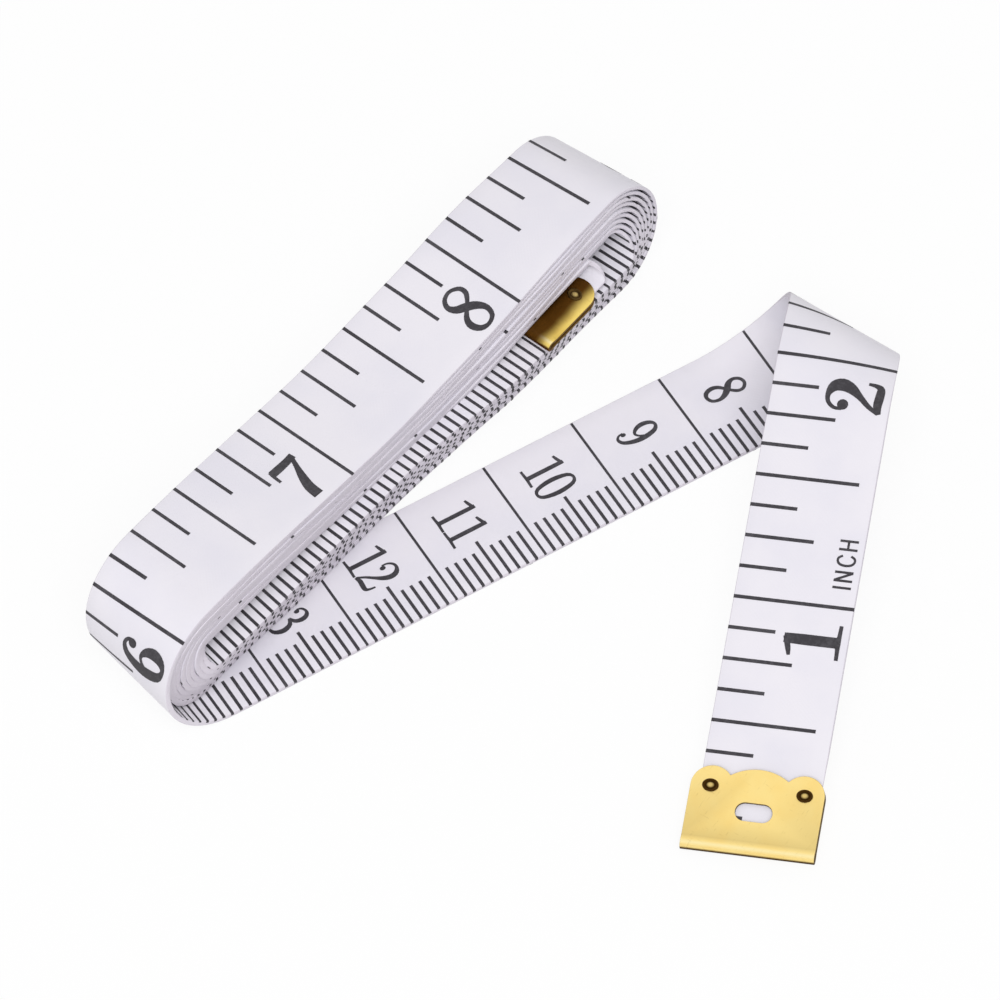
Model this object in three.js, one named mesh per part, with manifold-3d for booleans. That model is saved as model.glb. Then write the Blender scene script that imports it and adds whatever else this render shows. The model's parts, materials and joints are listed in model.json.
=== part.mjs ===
// A soft cloth tape measure, 150 cm long: coated tape wound into a flat oblong coil, with a tail that
// comes out under the coil, folds over softly and ends in a brass clip. A second clip is on the inner end.
// Millimetres, +Z up. The coil lies along X and stands on its lowest run, the tape's width is along Y.
import * as THREE from 'three';
import { mergeVertices } from 'three/addons/utils/BufferGeometryUtils.js';
import Module from 'manifold-3d';

const wasm = await Module();
wasm.setup();

const DEGREE = Math.PI / 180;

// Tape
const TAPE_LENGTH = 1518;
const TAPE_WIDTH = 11.7;
const TAPE_THICK = 0.16;
const NODE_GAP = 0.3;

// Coil
const COIL_HEIGHT = 13.6;
const TURN_GAP = 0.43;
const INNER_BEND_RADIUS = 0.85;
const COIL_START = 157.1;
const END_SLACK = 0.1;
const LEFT_REACH = 25;
const TOP_DISH = 2;
const TAIL_ROOM = 0.25;
const REST_START = 0.6;
const INNER_END_RUN = 9;
const INNER_END_LIFT = 0.6;
const INNER_END_SHORT = 3.7;
const INNER_END_TUCK = 0.65;
const OUTER_LEAN = 0.6;
const INNER_LEAN = 1.6;
const LEDGE = 0.4;
const INNER_TUCK = 0.3;
const RIGHT_START = 26;
const RIGHT_REACH = 18;
const RIGHT_LEAN = 1;
const RIGHT_INNER_LEAN = 1.4;
const RIGHT_STEP = 0.3;
const LEFT_TUCK = 0.55;
const LEFT_TUCK_REACH = 20;
const END_BULGE = 0.15;
const END_BULGE_REACH = 8;
const EDGE_WANDER = 0.07;
const WANDER_RATE = 2.4;

// Tail and fold
const TAIL_SKEW = -9.9 * DEGREE;
const FOLD_PLACE = 60.5;
const FOLD_SKEW = -23.9 * DEGREE;
const FOLD_RADIUS = 5.4;
const SHOULDER_RADIUS = 11.3;
const SHOULDER_TURN = 28 * DEGREE;
const HINGE_CLEARANCE = 0.5;

// End clips
const CLIP_WIDTH = 12.95;
const CLIP_OVERHANG = 0.5;
const CLIP_SHIFT = 0.2;
const CLIP_SHEET = 0.3;
const CLIP_CLEARANCE = 0.1;
const BEAD_RADIUS = 0.6;
const BEAD_TAPER = 0.8;
const EAR_RADIUS = 2.05;
const EAR_HEIGHT = 8.5;
const HUMP_HEIGHT = 8.6;
const HUMP_RADIUS = 4.9;
const SLOT_LENGTH = 3.6;
const SLOT_WIDTH = 1.85;
const SLOT_HEIGHT = 4.25;

// Clip rivets
const RIVET_HEIGHT = 6.5;
const RIVET_SPACING = 9.1;
const RIVET_HEAD_RADIUS = 0.78;
const RIVET_HEAD_RISE = 0.2;
const RIVET_RIM_RISE = 0.12;
const RIVET_GROOVE_RADIUS = 0.5;
const RIVET_SHANK_RADIUS = 0.42;
const RIVET_CLEARANCE = 0.1;
const HEAD_CLEARANCE = 0.03;

// Facets
const BEND_STEPS = 12;
const DISH_STEPS = 12;
const FLAT_STEPS = 5;
const FOLD_STEPS = 7;
const ROUND_STEPS = 16;

const PITCH = TAPE_THICK + TURN_GAP;
const JAW = TAPE_THICK / 2 + CLIP_CLEARANCE + CLIP_SHEET;
const TAPE_INSET = CLIP_SHEET + NODE_GAP - CLIP_OVERHANG;

const smooth = (t) => {
  const k = THREE.MathUtils.clamp(t, 0, 1);
  return k * k * (3 - 2 * k);
};

const scaled = (v, k) => v.clone().multiplyScalar(k);

// A flat ribbon carried along a chain of flats and bends. u runs from the coil towards the zero end and v
// across the tape. A bend rolls the ribbon round a cylinder whose axis is skewed to the tape's width.
class Ribbon {
  constructor(origin, along, across, inward) {
    this.flats = [{ origin, along, across, inward }];
    this.bends = [];
  }

  get last() {
    return this.flats.at(-1);
  }

  bend(u, skew, radius, turn) {
    const { origin, along, across, inward } = this.last;
    const [c, s] = [Math.cos(skew), Math.sin(skew)];
    const axis = scaled(across, c).addScaledVector(along, s);
    const round = scaled(along, c).addScaledVector(across, -s);
    const foot = origin.clone().addScaledVector(along, u);
    this.bends.push({ u, skew, radius, turn, axis, round, foot, inward });
    const round2 = scaled(round, Math.cos(turn)).addScaledVector(inward, Math.sin(turn));
    const inward2 = scaled(inward, Math.cos(turn)).addScaledVector(round, -Math.sin(turn));
    const along2 = scaled(round2, c).addScaledVector(axis, s);
    const across2 = scaled(axis, c).addScaledVector(round2, -s);
    const origin2 = foot.clone()
      .addScaledVector(round, radius * Math.sin(turn))
      .addScaledVector(inward, radius * (1 - Math.cos(turn)))
      .addScaledVector(round2, -radius * turn)
      .addScaledVector(along2, -u);
    this.flats.push({ origin: origin2, along: along2, across: across2, inward: inward2 });
    return u + (radius * turn) / c;
  }

  // Place and inner normal of the ribbon's middle surface at u along and v across.
  at(u, v) {
    let flat = this.flats[0];
    for (const [i, b] of this.bends.entries()) {
      const [c, s] = [Math.cos(b.skew), Math.sin(b.skew)];
      const reach = (u - b.u) * c - v * s;
      if (reach <= 0) break;
      if (reach < b.radius * b.turn) {
        const angle = reach / b.radius;
        const place = b.foot.clone()
          .addScaledVector(b.axis, (u - b.u) * s + v * c)
          .addScaledVector(b.round, b.radius * Math.sin(angle))
          .addScaledVector(b.inward, b.radius * (1 - Math.cos(angle)));
        const normal = scaled(b.inward, Math.cos(angle)).addScaledVector(b.round, -Math.sin(angle));
        return { place, normal };
      }
      flat = this.flats[i + 1];
    }
    const place = flat.origin.clone().addScaledVector(flat.along, u).addScaledVector(flat.across, v);
    return { place, normal: flat.inward };
  }

  // Both edges of the ribbon on the line through u that leans by the skew.
  line(u, skew) {
    const half = TAPE_WIDTH / 2;
    const lean = half * Math.tan(skew);
    return { a: this.at(u + lean, half), b: this.at(u - lean, -half) };
  }
}

// The free stretch of tape, from the left end of the coil's top run to the zero end, for one turn of the fold.
const freeStretch = (turn) => {
  const top = new THREE.Vector3(0, 0, COIL_HEIGHT - TAPE_THICK / 2);
  const ribbon = new Ribbon(
    top, new THREE.Vector3(-1, 0, 0), new THREE.Vector3(0, 1, 0), new THREE.Vector3(0, 0, -1));
  ribbon.bend(0, TAIL_SKEW, (COIL_HEIGHT - TAPE_THICK) / 2, Math.PI);
  const crownTurn = turn - 2 * SHOULDER_TURN;
  const length = 2 * SHOULDER_RADIUS * SHOULDER_TURN + FOLD_RADIUS * crownTurn;
  const start = COIL_START - FOLD_PLACE - length / Math.cos(FOLD_SKEW) / 2;
  const crown = ribbon.bend(start, FOLD_SKEW, SHOULDER_RADIUS, SHOULDER_TURN);
  const shoulder = ribbon.bend(crown, FOLD_SKEW, FOLD_RADIUS, crownTurn);
  const end = ribbon.bend(shoulder, FOLD_SKEW, SHOULDER_RADIUS, SHOULDER_TURN);
  const zero = ribbon.last.origin.clone().addScaledVector(ribbon.last.along, COIL_START);
  return { ribbon, turn, length, start, crown, shoulder, end, zero };
};

// Lowest point of the clip's folded bead above the table.
const clipFoot = ({ ribbon, zero }) => {
  const { along, across } = ribbon.last;
  const bead = zero.z - along.z * (BEAD_RADIUS - CLIP_OVERHANG) + across.z * CLIP_SHIFT;
  return bead - Math.abs(across.z) * CLIP_WIDTH / 2 - BEAD_RADIUS * Math.sqrt(1 - across.z ** 2);
};

const solve = (low, high, rises) => {
  let [a, b] = [low, high];
  for (let i = 0; i < 60; i += 1) {
    const middle = (a + b) / 2;
    if (rises(middle)) a = middle;
    else b = middle;
  }
  return (a + b) / 2;
};

// The fold turns until the clip at the free end touches the table.
const free = freeStretch(solve(Math.PI, 1.3 * Math.PI, (turn) => clipFoot(freeStretch(turn)) > 0));

// One turn of the coil is a top run, a right end, a bottom run and a left end.
const RUN_SHARE = 0.375;
const END_SHARE = 0.5 - RUN_SHARE;
const OUTER_RADIUS = (COIL_HEIGHT - TAPE_THICK - TAIL_ROOM) / 2;
const MIDDLE = (COIL_HEIGHT + TAIL_ROOM) / 2;
const REST_DROP = TAIL_ROOM + PITCH / 2;

// As many turns as the coil's height holds.
const FULL_TURNS = Math.floor((OUTER_RADIUS - INNER_BEND_RADIUS) / PITCH - 0.5);

// Middle line of the wound tape in the XZ plane after a number of turns, for one length of the straight runs,
// at v across the tape. The left ends lie along the skewed bend that the tail comes from.
const wound = (turns, run, v = 0) => {
  const lap = Math.floor(turns);
  const share = turns - lap;
  const radius = OUTER_RADIUS - PITCH * turns;
  const right = END_SLACK + run - (lap === FULL_TURNS ? INNER_END_SHORT : 0);
  const dropAt = (k) => REST_DROP * smooth((k - REST_START) / (1 - REST_START));
  const skewed = (x) => x - v * Math.tan(TAIL_SKEW) * (1 - smooth((x - END_SLACK) / LEFT_REACH));
  let x;
  let z;
  if (share < RUN_SHARE) {
    const left = lap === 0 ? 0 : END_SLACK;
    x = left + (right - left) * share / RUN_SHARE;
    if (lap > 0) x = skewed(x);
    z = radius - TOP_DISH * (1 - Math.cos(2 * Math.PI * Math.max(0, x - END_SLACK) / run)) / 2;
  } else if (share < 0.5) {
    const angle = Math.PI * (share - RUN_SHARE) / END_SHARE;
    const tight = lap === FULL_TURNS ? INNER_END_LIFT / 2 : 0;
    x = right + (radius - tight) * Math.sin(angle);
    z = tight + (radius - tight) * Math.cos(angle);
  } else if (share < 0.5 + RUN_SHARE) {
    x = skewed(right - run * (share - 0.5) / RUN_SHARE);
    z = -radius;
  } else {
    const angle = Math.PI * (share - 0.5 - RUN_SHARE) / END_SHARE;
    x = skewed(END_SLACK - radius * Math.sin(angle));
    z = -radius * Math.cos(angle);
  }
  // The last run, in its clip, stays level.
  if (turns >= FULL_TURNS + 0.5) {
    const foot = OUTER_RADIUS - PITCH * (FULL_TURNS + 0.5);
    return new THREE.Vector2(x, MIDDLE - foot + INNER_END_LIFT - REST_DROP);
  }
  return new THREE.Vector2(x, MIDDLE + z - dropAt((x - END_SLACK) / run));
};

const turnsAtEnd = (run) => FULL_TURNS + 0.5 + RUN_SHARE * INNER_END_RUN / run;

// Turns at which the coil has a line of corners: close on the ends, wider on the runs.
const stations = (run) => {
  const list = [];
  const end = turnsAtEnd(run);
  for (let lap = 0; lap <= FULL_TURNS; lap += 1) {
    for (let i = 0; i < DISH_STEPS; i += 1) list.push(lap + RUN_SHARE * i / DISH_STEPS);
    for (let i = 0; i < BEND_STEPS; i += 1) list.push(lap + RUN_SHARE + END_SHARE * i / BEND_STEPS);
    for (let i = 0; i < FLAT_STEPS; i += 1) list.push(lap + 0.5 + RUN_SHARE * i / FLAT_STEPS);
    for (let i = 0; i < BEND_STEPS; i += 1) list.push(lap + 1 - END_SHARE + END_SHARE * i / BEND_STEPS);
  }
  return [...list.filter((turns) => turns < end - 0.01), end];
};

const woundLength = (run) => {
  const line = stations(run).map((turns) => wound(turns, run));
  return line.slice(1).reduce((sum, p, i) => sum + p.distanceTo(line[i]), 0);
};

// The straight runs are as long as the rest of the tape needs.
const RUN = solve(20, 400, (run) => woundLength(run) < TAPE_LENGTH - COIL_START);

// The tape's sideways place after a number of turns. The coil leans, so that its bottom runs stand out to one
// side, most of all the innermost and the lowest one, and it leans more towards its right end. The inner end
// is drawn back under the top runs.
const drift = (turns) => {
  const share = turns - Math.floor(turns);
  const low = smooth((share - RUN_SHARE) / END_SHARE) * (1 - smooth((share - 1 + END_SHARE) / END_SHARE));
  const depth = turns / turnsAtEnd(RUN);
  const { x } = wound(turns, RUN);
  const right = smooth((x - RIGHT_START) / RIGHT_REACH);
  const ledge = LEDGE * smooth(2 * turns - 1.8) * (1 - depth);
  const outer = OUTER_LEAN + RIGHT_LEAN * right - LEFT_TUCK * (1 - smooth(x / LEFT_TUCK_REACH));
  const inner = INNER_LEAN + RIGHT_INNER_LEAN * right;
  const lean = outer + (inner - outer) * depth - ledge;
  const tuck = depth * (INNER_TUCK - (INNER_TUCK + RIGHT_STEP) * right);
  const bulge = END_BULGE * smooth((x - RUN) / END_BULGE_REACH);
  const wander = EDGE_WANDER * Math.sin(WANDER_RATE * turns) * smooth(turns);
  const back = INNER_END_TUCK * smooth((turns - FULL_TURNS - RUN_SHARE) / END_SHARE);
  return wander - lean * low + tuck * (1 - low) - bulge + back;
};

// A closed strip of tape through a list of lines, each with its two edge places and their normals.
const strip = (lines) => {
  const points = [];
  const triangles = [];
  const corner = ({ place, normal }, side) => {
    points.push(...place.clone().addScaledVector(normal, side * TAPE_THICK / 2).toArray());
  };
  for (const { a, b } of lines) {
    corner(a, -1);
    corner(b, -1);
    corner(b, 1);
    corner(a, 1);
  }
  const quad = (i, j, k, l) => triangles.push(i, j, k, i, k, l);
  for (let i = 0; i + 1 < lines.length; i += 1) {
    const [p, q] = [4 * i, 4 * i + 4];
    for (let k = 0; k < 4; k += 1) quad(p + k, p + (k + 1) % 4, q + (k + 1) % 4, q + k);
  }
  const e = 4 * (lines.length - 1);
  quad(3, 2, 1, 0);
  quad(e, e + 1, e + 2, e + 3);
  const geometry = new THREE.BufferGeometry();
  geometry.setAttribute('position', new THREE.Float32BufferAttribute(points, 3));
  geometry.setIndex(triangles);
  return geometry;
};

const solid = (geometry) => {
  const bare = geometry.clone();
  for (const name of Object.keys(bare.attributes)) if (name !== 'position') bare.deleteAttribute(name);
  const merged = mergeVertices(bare, 1e-4);
  return new wasm.Manifold(new wasm.Mesh({
    numProp: 3,
    vertProperties: Float32Array.from(merged.attributes.position.array),
    triVerts: Uint32Array.from(merged.index.array),
  }));
};

const geometryOf = (body) => {
  const mesh = body.getMesh();
  const geometry = new THREE.BufferGeometry();
  geometry.setAttribute('position', new THREE.Float32BufferAttribute(mesh.vertProperties, 3));
  geometry.setIndex(Array.from(mesh.triVerts));
  geometry.computeVertexNormals();
  return geometry;
};

// Tape nodes

const seam = END_SLACK + TAPE_WIDTH / 2 * Math.abs(Math.tan(TAIL_SKEW));

const windingLines = () => {
  const list = stations(RUN);
  const first = list.findIndex((turns) => wound(turns, RUN).x > seam + NODE_GAP);
  const start = solve(0, RUN_SHARE, (turns) => wound(turns, RUN).x < seam + NODE_GAP / 2);
  const tip = wound(list.at(-1), RUN).x + TAPE_INSET;
  const end = solve(list.at(-2), list.at(-1), (turns) => wound(turns, RUN).x > tip);
  const used = [start, ...list.slice(first, -1), end];
  const step = 1e-4;
  return used.map((turns) => {
    const y = drift(turns);
    const edge = (v) => {
      const p = wound(turns, RUN, v);
      const tangent = wound(turns + step, RUN, v).sub(wound(turns - step, RUN, v)).normalize();
      return {
        place: new THREE.Vector3(p.x, y + v, p.y),
        normal: new THREE.Vector3(tangent.y, 0, -tangent.x),
      };
    };
    return { a: edge(TAPE_WIDTH / 2), b: edge(-TAPE_WIDTH / 2) };
  });
};

const along = (ribbon, from, to, steps, skew) => Array.from(
  { length: steps + 1 }, (_, i) => ribbon.line(from + (to - from) * i / steps, skew));

const foldMiddle = (free.start + free.end) / 2;
const foldGap = NODE_GAP / 2 / Math.cos(FOLD_SKEW);
const endBend = (COIL_HEIGHT - TAPE_THICK) / 2 * Math.PI / Math.cos(TAIL_SKEW);

const tailLines = () => {
  const { ribbon } = free;
  return [
    ribbon.line(-seam + NODE_GAP / 2, 0),
    ...along(ribbon, 0, endBend, 2 * BEND_STEPS, TAIL_SKEW),
    ...along(ribbon, free.start, free.crown, FOLD_STEPS, FOLD_SKEW),
    ...along(ribbon, free.crown, foldMiddle - foldGap, FOLD_STEPS, FOLD_SKEW).slice(1),
  ].reverse();
};

const freeEndLines = () => {
  const { ribbon } = free;
  return [
    ...along(ribbon, foldMiddle + foldGap, free.shoulder, FOLD_STEPS, FOLD_SKEW),
    ...along(ribbon, free.shoulder, free.end, FOLD_STEPS, FOLD_SKEW).slice(1),
    ribbon.line(COIL_START - TAPE_INSET, 0),
  ].reverse();
};

// Clips: x across the tape, y from the folded edge towards the tape, z through it.

const sideProfile = () => {
  const rise = (y) => JAW + (BEAD_RADIUS - JAW) * (1 - smooth((y - BEAD_RADIUS) / BEAD_TAPER));
  const reach = Math.max(EAR_HEIGHT, HUMP_HEIGHT) + NODE_GAP;
  const heights = [reach];
  for (let i = ROUND_STEPS / 2; i >= 0; i -= 1) heights.push(BEAD_RADIUS + BEAD_TAPER * 2 * i / ROUND_STEPS);
  const path = (inset) => {
    const jaw = heights.map((y) => new THREE.Vector2(y, rise(y) - inset));
    const radius = BEAD_RADIUS - inset;
    const bead = [];
    for (let i = 1; i < ROUND_STEPS; i += 1) {
      const angle = Math.PI * i / ROUND_STEPS;
      bead.push(new THREE.Vector2(BEAD_RADIUS - radius * Math.sin(angle), radius * Math.cos(angle)));
    }
    return [...jaw, ...bead, ...jaw.map((p) => new THREE.Vector2(p.x, -p.y)).reverse()];
  };
  return new THREE.Shape([...path(0), ...path(CLIP_SHEET).reverse()]);
};

const outline = () => {
  const half = CLIP_WIDTH / 2;
  const ear = { x: half - EAR_RADIUS, y: EAR_HEIGHT - EAR_RADIUS };
  const hump = { y: HUMP_HEIGHT - HUMP_RADIUS };
  const gap = Math.hypot(ear.x, ear.y - hump.y);
  const bearing = Math.atan2(ear.y - hump.y, ear.x);
  const inHump = Math.acos((HUMP_RADIUS ** 2 + gap ** 2 - EAR_RADIUS ** 2) / (2 * HUMP_RADIUS * gap));
  const inEar = Math.acos((EAR_RADIUS ** 2 + gap ** 2 - HUMP_RADIUS ** 2) / (2 * EAR_RADIUS * gap));
  const notch = bearing + inHump;
  const earNotch = bearing + Math.PI - inEar;
  const shape = new THREE.Shape();
  shape.moveTo(-half, -NODE_GAP);
  shape.lineTo(half, -NODE_GAP);
  shape.lineTo(half, ear.y);
  shape.absarc(ear.x, ear.y, EAR_RADIUS, 0, earNotch, false);
  shape.absarc(0, hump.y, HUMP_RADIUS, notch, Math.PI - notch, false);
  shape.absarc(-ear.x, ear.y, EAR_RADIUS, Math.PI - earNotch, Math.PI, false);
  shape.closePath();
  return shape;
};

const slotShape = () => {
  const radius = SLOT_WIDTH / 2;
  const side = SLOT_LENGTH / 2 - radius;
  const shape = new THREE.Shape();
  shape.absarc(side, SLOT_HEIGHT, radius, -Math.PI / 2, Math.PI / 2, false);
  shape.absarc(-side, SLOT_HEIGHT, radius, Math.PI / 2, 1.5 * Math.PI, false);
  shape.closePath();
  return shape;
};

const through = (shape) => {
  const depth = 4 * Math.max(JAW, BEAD_RADIUS);
  const geometry = new THREE.ExtrudeGeometry(shape, { depth, bevelEnabled: false, curveSegments: ROUND_STEPS });
  return solid(geometry.translate(0, 0, -depth / 2));
};

const rivetPlaces = [-1, 1].map((side) => side * RIVET_SPACING / 2);

const rivetHole = (x) => {
  const radius = RIVET_SHANK_RADIUS + RIVET_CLEARANCE;
  const hole = new THREE.CylinderGeometry(radius, radius, 4 * JAW, ROUND_STEPS);
  return hole.rotateX(Math.PI / 2).translate(x, RIVET_HEIGHT, 0);
};

const clipGeometry = () => {
  const sheet = new THREE.ExtrudeGeometry(sideProfile(), { depth: CLIP_WIDTH, bevelEnabled: false });
  const basis = new THREE.Matrix4().makeBasis(
    new THREE.Vector3(0, 1, 0), new THREE.Vector3(0, 0, 1), new THREE.Vector3(1, 0, 0));
  sheet.applyMatrix4(basis).translate(-CLIP_WIDTH / 2, 0, 0);
  let body = solid(sheet).intersect(through(outline())).subtract(through(slotShape()));
  for (const x of rivetPlaces) body = body.subtract(solid(rivetHole(x)));
  return geometryOf(body);
};

// A tubular rivet with a domed middle, a groove and a rolled rim on both heads.
const rivetGeometry = () => {
  const seat = JAW + HEAD_CLEARANCE;
  const head = [
    [RIVET_SHANK_RADIUS, seat],
    [RIVET_HEAD_RADIUS, seat],
    [RIVET_HEAD_RADIUS, seat + RIVET_RIM_RISE / 2],
    [(RIVET_HEAD_RADIUS + RIVET_GROOVE_RADIUS) / 2, seat + RIVET_RIM_RISE],
    [RIVET_GROOVE_RADIUS, seat + RIVET_RIM_RISE / 3],
    [RIVET_GROOVE_RADIUS / 2, seat + RIVET_HEAD_RISE * 0.75],
    [0, seat + RIVET_HEAD_RISE],
  ].map(([x, y]) => new THREE.Vector2(x, y));
  const foot = head.map((p) => new THREE.Vector2(p.x, -p.y)).reverse();
  return new THREE.LatheGeometry([...foot, ...head], ROUND_STEPS).rotateX(Math.PI / 2);
};

const brass = () => new THREE.MeshStandardMaterial({ color: 0xe6b95c, roughness: 0.28, metalness: 1 });
const rivetBrass = () => new THREE.MeshStandardMaterial({ color: 0x8a6a2c, roughness: 0.4, metalness: 1 });
const cloth = () => new THREE.MeshStandardMaterial({ color: 0xe9e6ef, roughness: 0.55, metalness: 0 });

const named = (name, geometry, material) => {
  const mesh = new THREE.Mesh(geometry, material);
  mesh.name = name;
  return mesh;
};

// A clip and its two rivets, turned so that its folded edge is a little outside the end of the tape.
const clipGroup = (end, place, across, inside) => {
  const group = new THREE.Group();
  const normal = new THREE.Vector3().crossVectors(across, inside);
  group.quaternion.setFromRotationMatrix(new THREE.Matrix4().makeBasis(across, inside, normal));
  group.position.copy(place);
  group.add(named(`${end}_end_clip`, clipGeometry(), brass()));
  for (const [i, x] of rivetPlaces.entries()) {
    const rivet = named(`${end}_clip_rivet_${i + 1}`, rivetGeometry(), rivetBrass());
    rivet.position.set(x, RIVET_HEIGHT, 0);
    group.add(rivet);
  }
  group.updateMatrixWorld(true);
  return group;
};

const pierced = (geometry, clip) => {
  let body = solid(geometry);
  for (const x of rivetPlaces) body = body.subtract(solid(rivetHole(x).applyMatrix4(clip.matrixWorld)));
  return geometryOf(body);
};

const innerEnd = turnsAtEnd(RUN);
const innerPlace = wound(innerEnd, RUN);
const innerClip = clipGroup(
  'inner', new THREE.Vector3(innerPlace.x - CLIP_OVERHANG, drift(innerEnd), innerPlace.y),
  new THREE.Vector3(0, -1, 0), new THREE.Vector3(1, 0, 0));
const outerPlace = free.zero.clone()
  .addScaledVector(free.ribbon.last.along, CLIP_OVERHANG)
  .addScaledVector(free.ribbon.last.across, CLIP_SHIFT);
const outerClip = clipGroup(
  'outer', outerPlace, free.ribbon.last.across, scaled(free.ribbon.last.along, -1));

const part = new THREE.Group();
part.add(
  named('tape_winding', pierced(strip(windingLines()), innerClip), cloth()),
  named('tape_tail', strip(tailLines()), cloth()),
  innerClip,
  named('tape_free_end', pierced(strip(freeEndLines()), outerClip), cloth()),
  outerClip,
);
for (const mesh of part.children) if (mesh.isMesh) mesh.geometry.computeVertexNormals();

// The origin is under the middle of the whole, on the table.
const box = new THREE.Box3().setFromObject(part, true);
const centre = box.getCenter(new THREE.Vector3());
part.position.set(-centre.x, -centre.y, -box.min.z);

// The least clear space between any two stretches of the wound tape, its outer end and the tail under it.
const leastGap = () => {
  const lineAt = (v) => {
    const line = [];
    for (let turns = 0; turns <= innerEnd; turns += 1 / 400) line.push(wound(turns, RUN, v));
    return line;
  };
  const apart = Math.round(400 * RUN_SHARE / 2);
  const away = (p, line, from) => {
    let least = Infinity;
    for (let i = from; i + 1 < line.length; i += 1) {
      const edge = line[i + 1].clone().sub(line[i]);
      const k = THREE.MathUtils.clamp(p.clone().sub(line[i]).dot(edge) / edge.lengthSq(), 0, 1);
      least = Math.min(least, p.distanceTo(line[i].clone().addScaledVector(edge, k)));
    }
    return least;
  };
  let least = Infinity;
  for (const side of [-0.5, 0, 0.5]) {
    const line = lineAt(side * TAPE_WIDTH);
    for (let i = 0; i < line.length; i += 3) least = Math.min(least, away(line[i], line, i + apart));
    for (let u = 0; u < free.start; u += 1.5) {
      const { place } = free.ribbon.at(u, side * TAPE_WIDTH);
      if (Math.abs(place.y) > TAPE_WIDTH / 2 + RIGHT_LEAN) continue;
      least = Math.min(least, away(new THREE.Vector2(place.x, place.z), lineAt(place.y), apart));
    }
  }
  return least - TAPE_THICK;
};

// The fold opens about a line just outside its crest, where its two halves meet.
const foldHinge = () => {
  const { place, normal } = free.ribbon.at(foldMiddle, 0);
  const hinge = place.clone().addScaledVector(normal, -TAPE_THICK / 2 - HINGE_CLEARANCE);
  return { hinge: hinge.add(part.position), axis: free.ribbon.bends[1].axis };
};

const { hinge, axis } = foldHinge();
const rounded = (v, k) => v.toArray().map((n) => Number((n * k).toFixed(6)));
console.log(`least gap of the tape to itself ${leastGap().toFixed(3)} mm`);
console.log(`straight runs ${RUN.toFixed(2)} mm, turns ${innerEnd.toFixed(3)}, fold ${(free.turn / DEGREE).toFixed(2)} degrees`);
console.log(`fold axis at ${rounded(hinge, 0.001)} m along ${rounded(axis, 1)}, origin shift ${rounded(part.position, 1)} mm`);

export default part;
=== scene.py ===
import json
import logging
import math
from bisect import bisect_right
from dataclasses import dataclass, field
from enum import Enum
from typing import Callable, Iterable, Optional, Sequence, Union

import bpy
from mathutils import Matrix, Vector

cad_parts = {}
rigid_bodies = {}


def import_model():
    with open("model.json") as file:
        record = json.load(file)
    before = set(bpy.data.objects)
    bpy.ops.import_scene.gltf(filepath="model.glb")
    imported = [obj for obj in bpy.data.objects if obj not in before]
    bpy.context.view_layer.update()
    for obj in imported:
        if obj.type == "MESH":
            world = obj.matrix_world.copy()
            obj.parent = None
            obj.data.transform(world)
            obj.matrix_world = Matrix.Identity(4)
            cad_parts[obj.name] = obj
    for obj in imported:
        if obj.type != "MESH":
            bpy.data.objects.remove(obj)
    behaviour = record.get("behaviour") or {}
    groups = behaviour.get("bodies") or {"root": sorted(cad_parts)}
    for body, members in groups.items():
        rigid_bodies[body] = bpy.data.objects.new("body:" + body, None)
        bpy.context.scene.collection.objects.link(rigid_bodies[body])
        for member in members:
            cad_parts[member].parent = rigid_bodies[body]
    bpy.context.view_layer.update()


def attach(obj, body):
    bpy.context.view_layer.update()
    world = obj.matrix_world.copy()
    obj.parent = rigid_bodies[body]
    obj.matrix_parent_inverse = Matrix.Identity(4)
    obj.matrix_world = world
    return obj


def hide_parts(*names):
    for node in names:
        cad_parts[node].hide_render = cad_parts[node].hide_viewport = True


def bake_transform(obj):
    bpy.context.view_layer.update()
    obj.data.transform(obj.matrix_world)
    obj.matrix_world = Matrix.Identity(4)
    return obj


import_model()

log = logging.getLogger("tape_measure")

MM = 0.001
ORIGIN = Vector((-29.367975, 28.562681, 0.0))

Colour = tuple[float, float, float]
Spot = tuple[float, float, float]
Pen = tuple[float, float, float]
Pair = tuple[float, float]
Placer = Callable[[float, float], Pair]


def ease(value: float) -> float:
    """A soft step from 0 to 1 over the range 0 to 1."""
    k = min(max(value, 0.0), 1.0)
    return k * k * (3.0 - 2.0 * k)


class Face(Enum):
    """The two printed faces of the tape."""

    INCH = -1
    CENTIMETRE = 1


class Stretch(Enum):
    """The stretches of tape that move in their own way."""

    COIL = "coil"
    FOLD = "fold"
    FREE_END = "free_end"


def maths_method(kind: str, swapped: bool = False) -> Callable[["Wire", "Value"], "Wire"]:
    """Make a method of Wire that adds a Math node.

    Args:
        kind: The node's operation.
        swapped: Whether the other value comes first.

    Returns:
        The method.
    """

    def operate(wire: "Wire", other: "Value") -> "Wire":
        """The result for a wire and another value."""
        return wire.graph.maths(kind, *((other, wire) if swapped else (wire, other)))

    return operate


class Wire:
    """A socket of a node tree, with arithmetic that adds Math nodes."""

    def __init__(self, graph: "Graph", socket: bpy.types.NodeSocket) -> None:
        """Keep the tree and the socket."""
        self.graph = graph
        self.socket = socket

    __add__ = maths_method("ADD")
    __radd__ = maths_method("ADD", True)
    __sub__ = maths_method("SUBTRACT")
    __mul__ = maths_method("MULTIPLY")
    __rmul__ = maths_method("MULTIPLY", True)
    most = maths_method("MAXIMUM")

    def sin(self) -> "Wire":
        """The sine."""
        return self.graph.maths("SINE", self)

    def between(self, low: float, high: float) -> "Wire":
        """A soft step of this value from 0 at low to 1 at high."""
        return self.graph.node(
            "ShaderNodeMapRange",
            {"interpolation_type": "SMOOTHSTEP"},
            {"Value": self, "From Min": low, "From Max": high},
        )


Value = Union[Wire, float]


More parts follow.
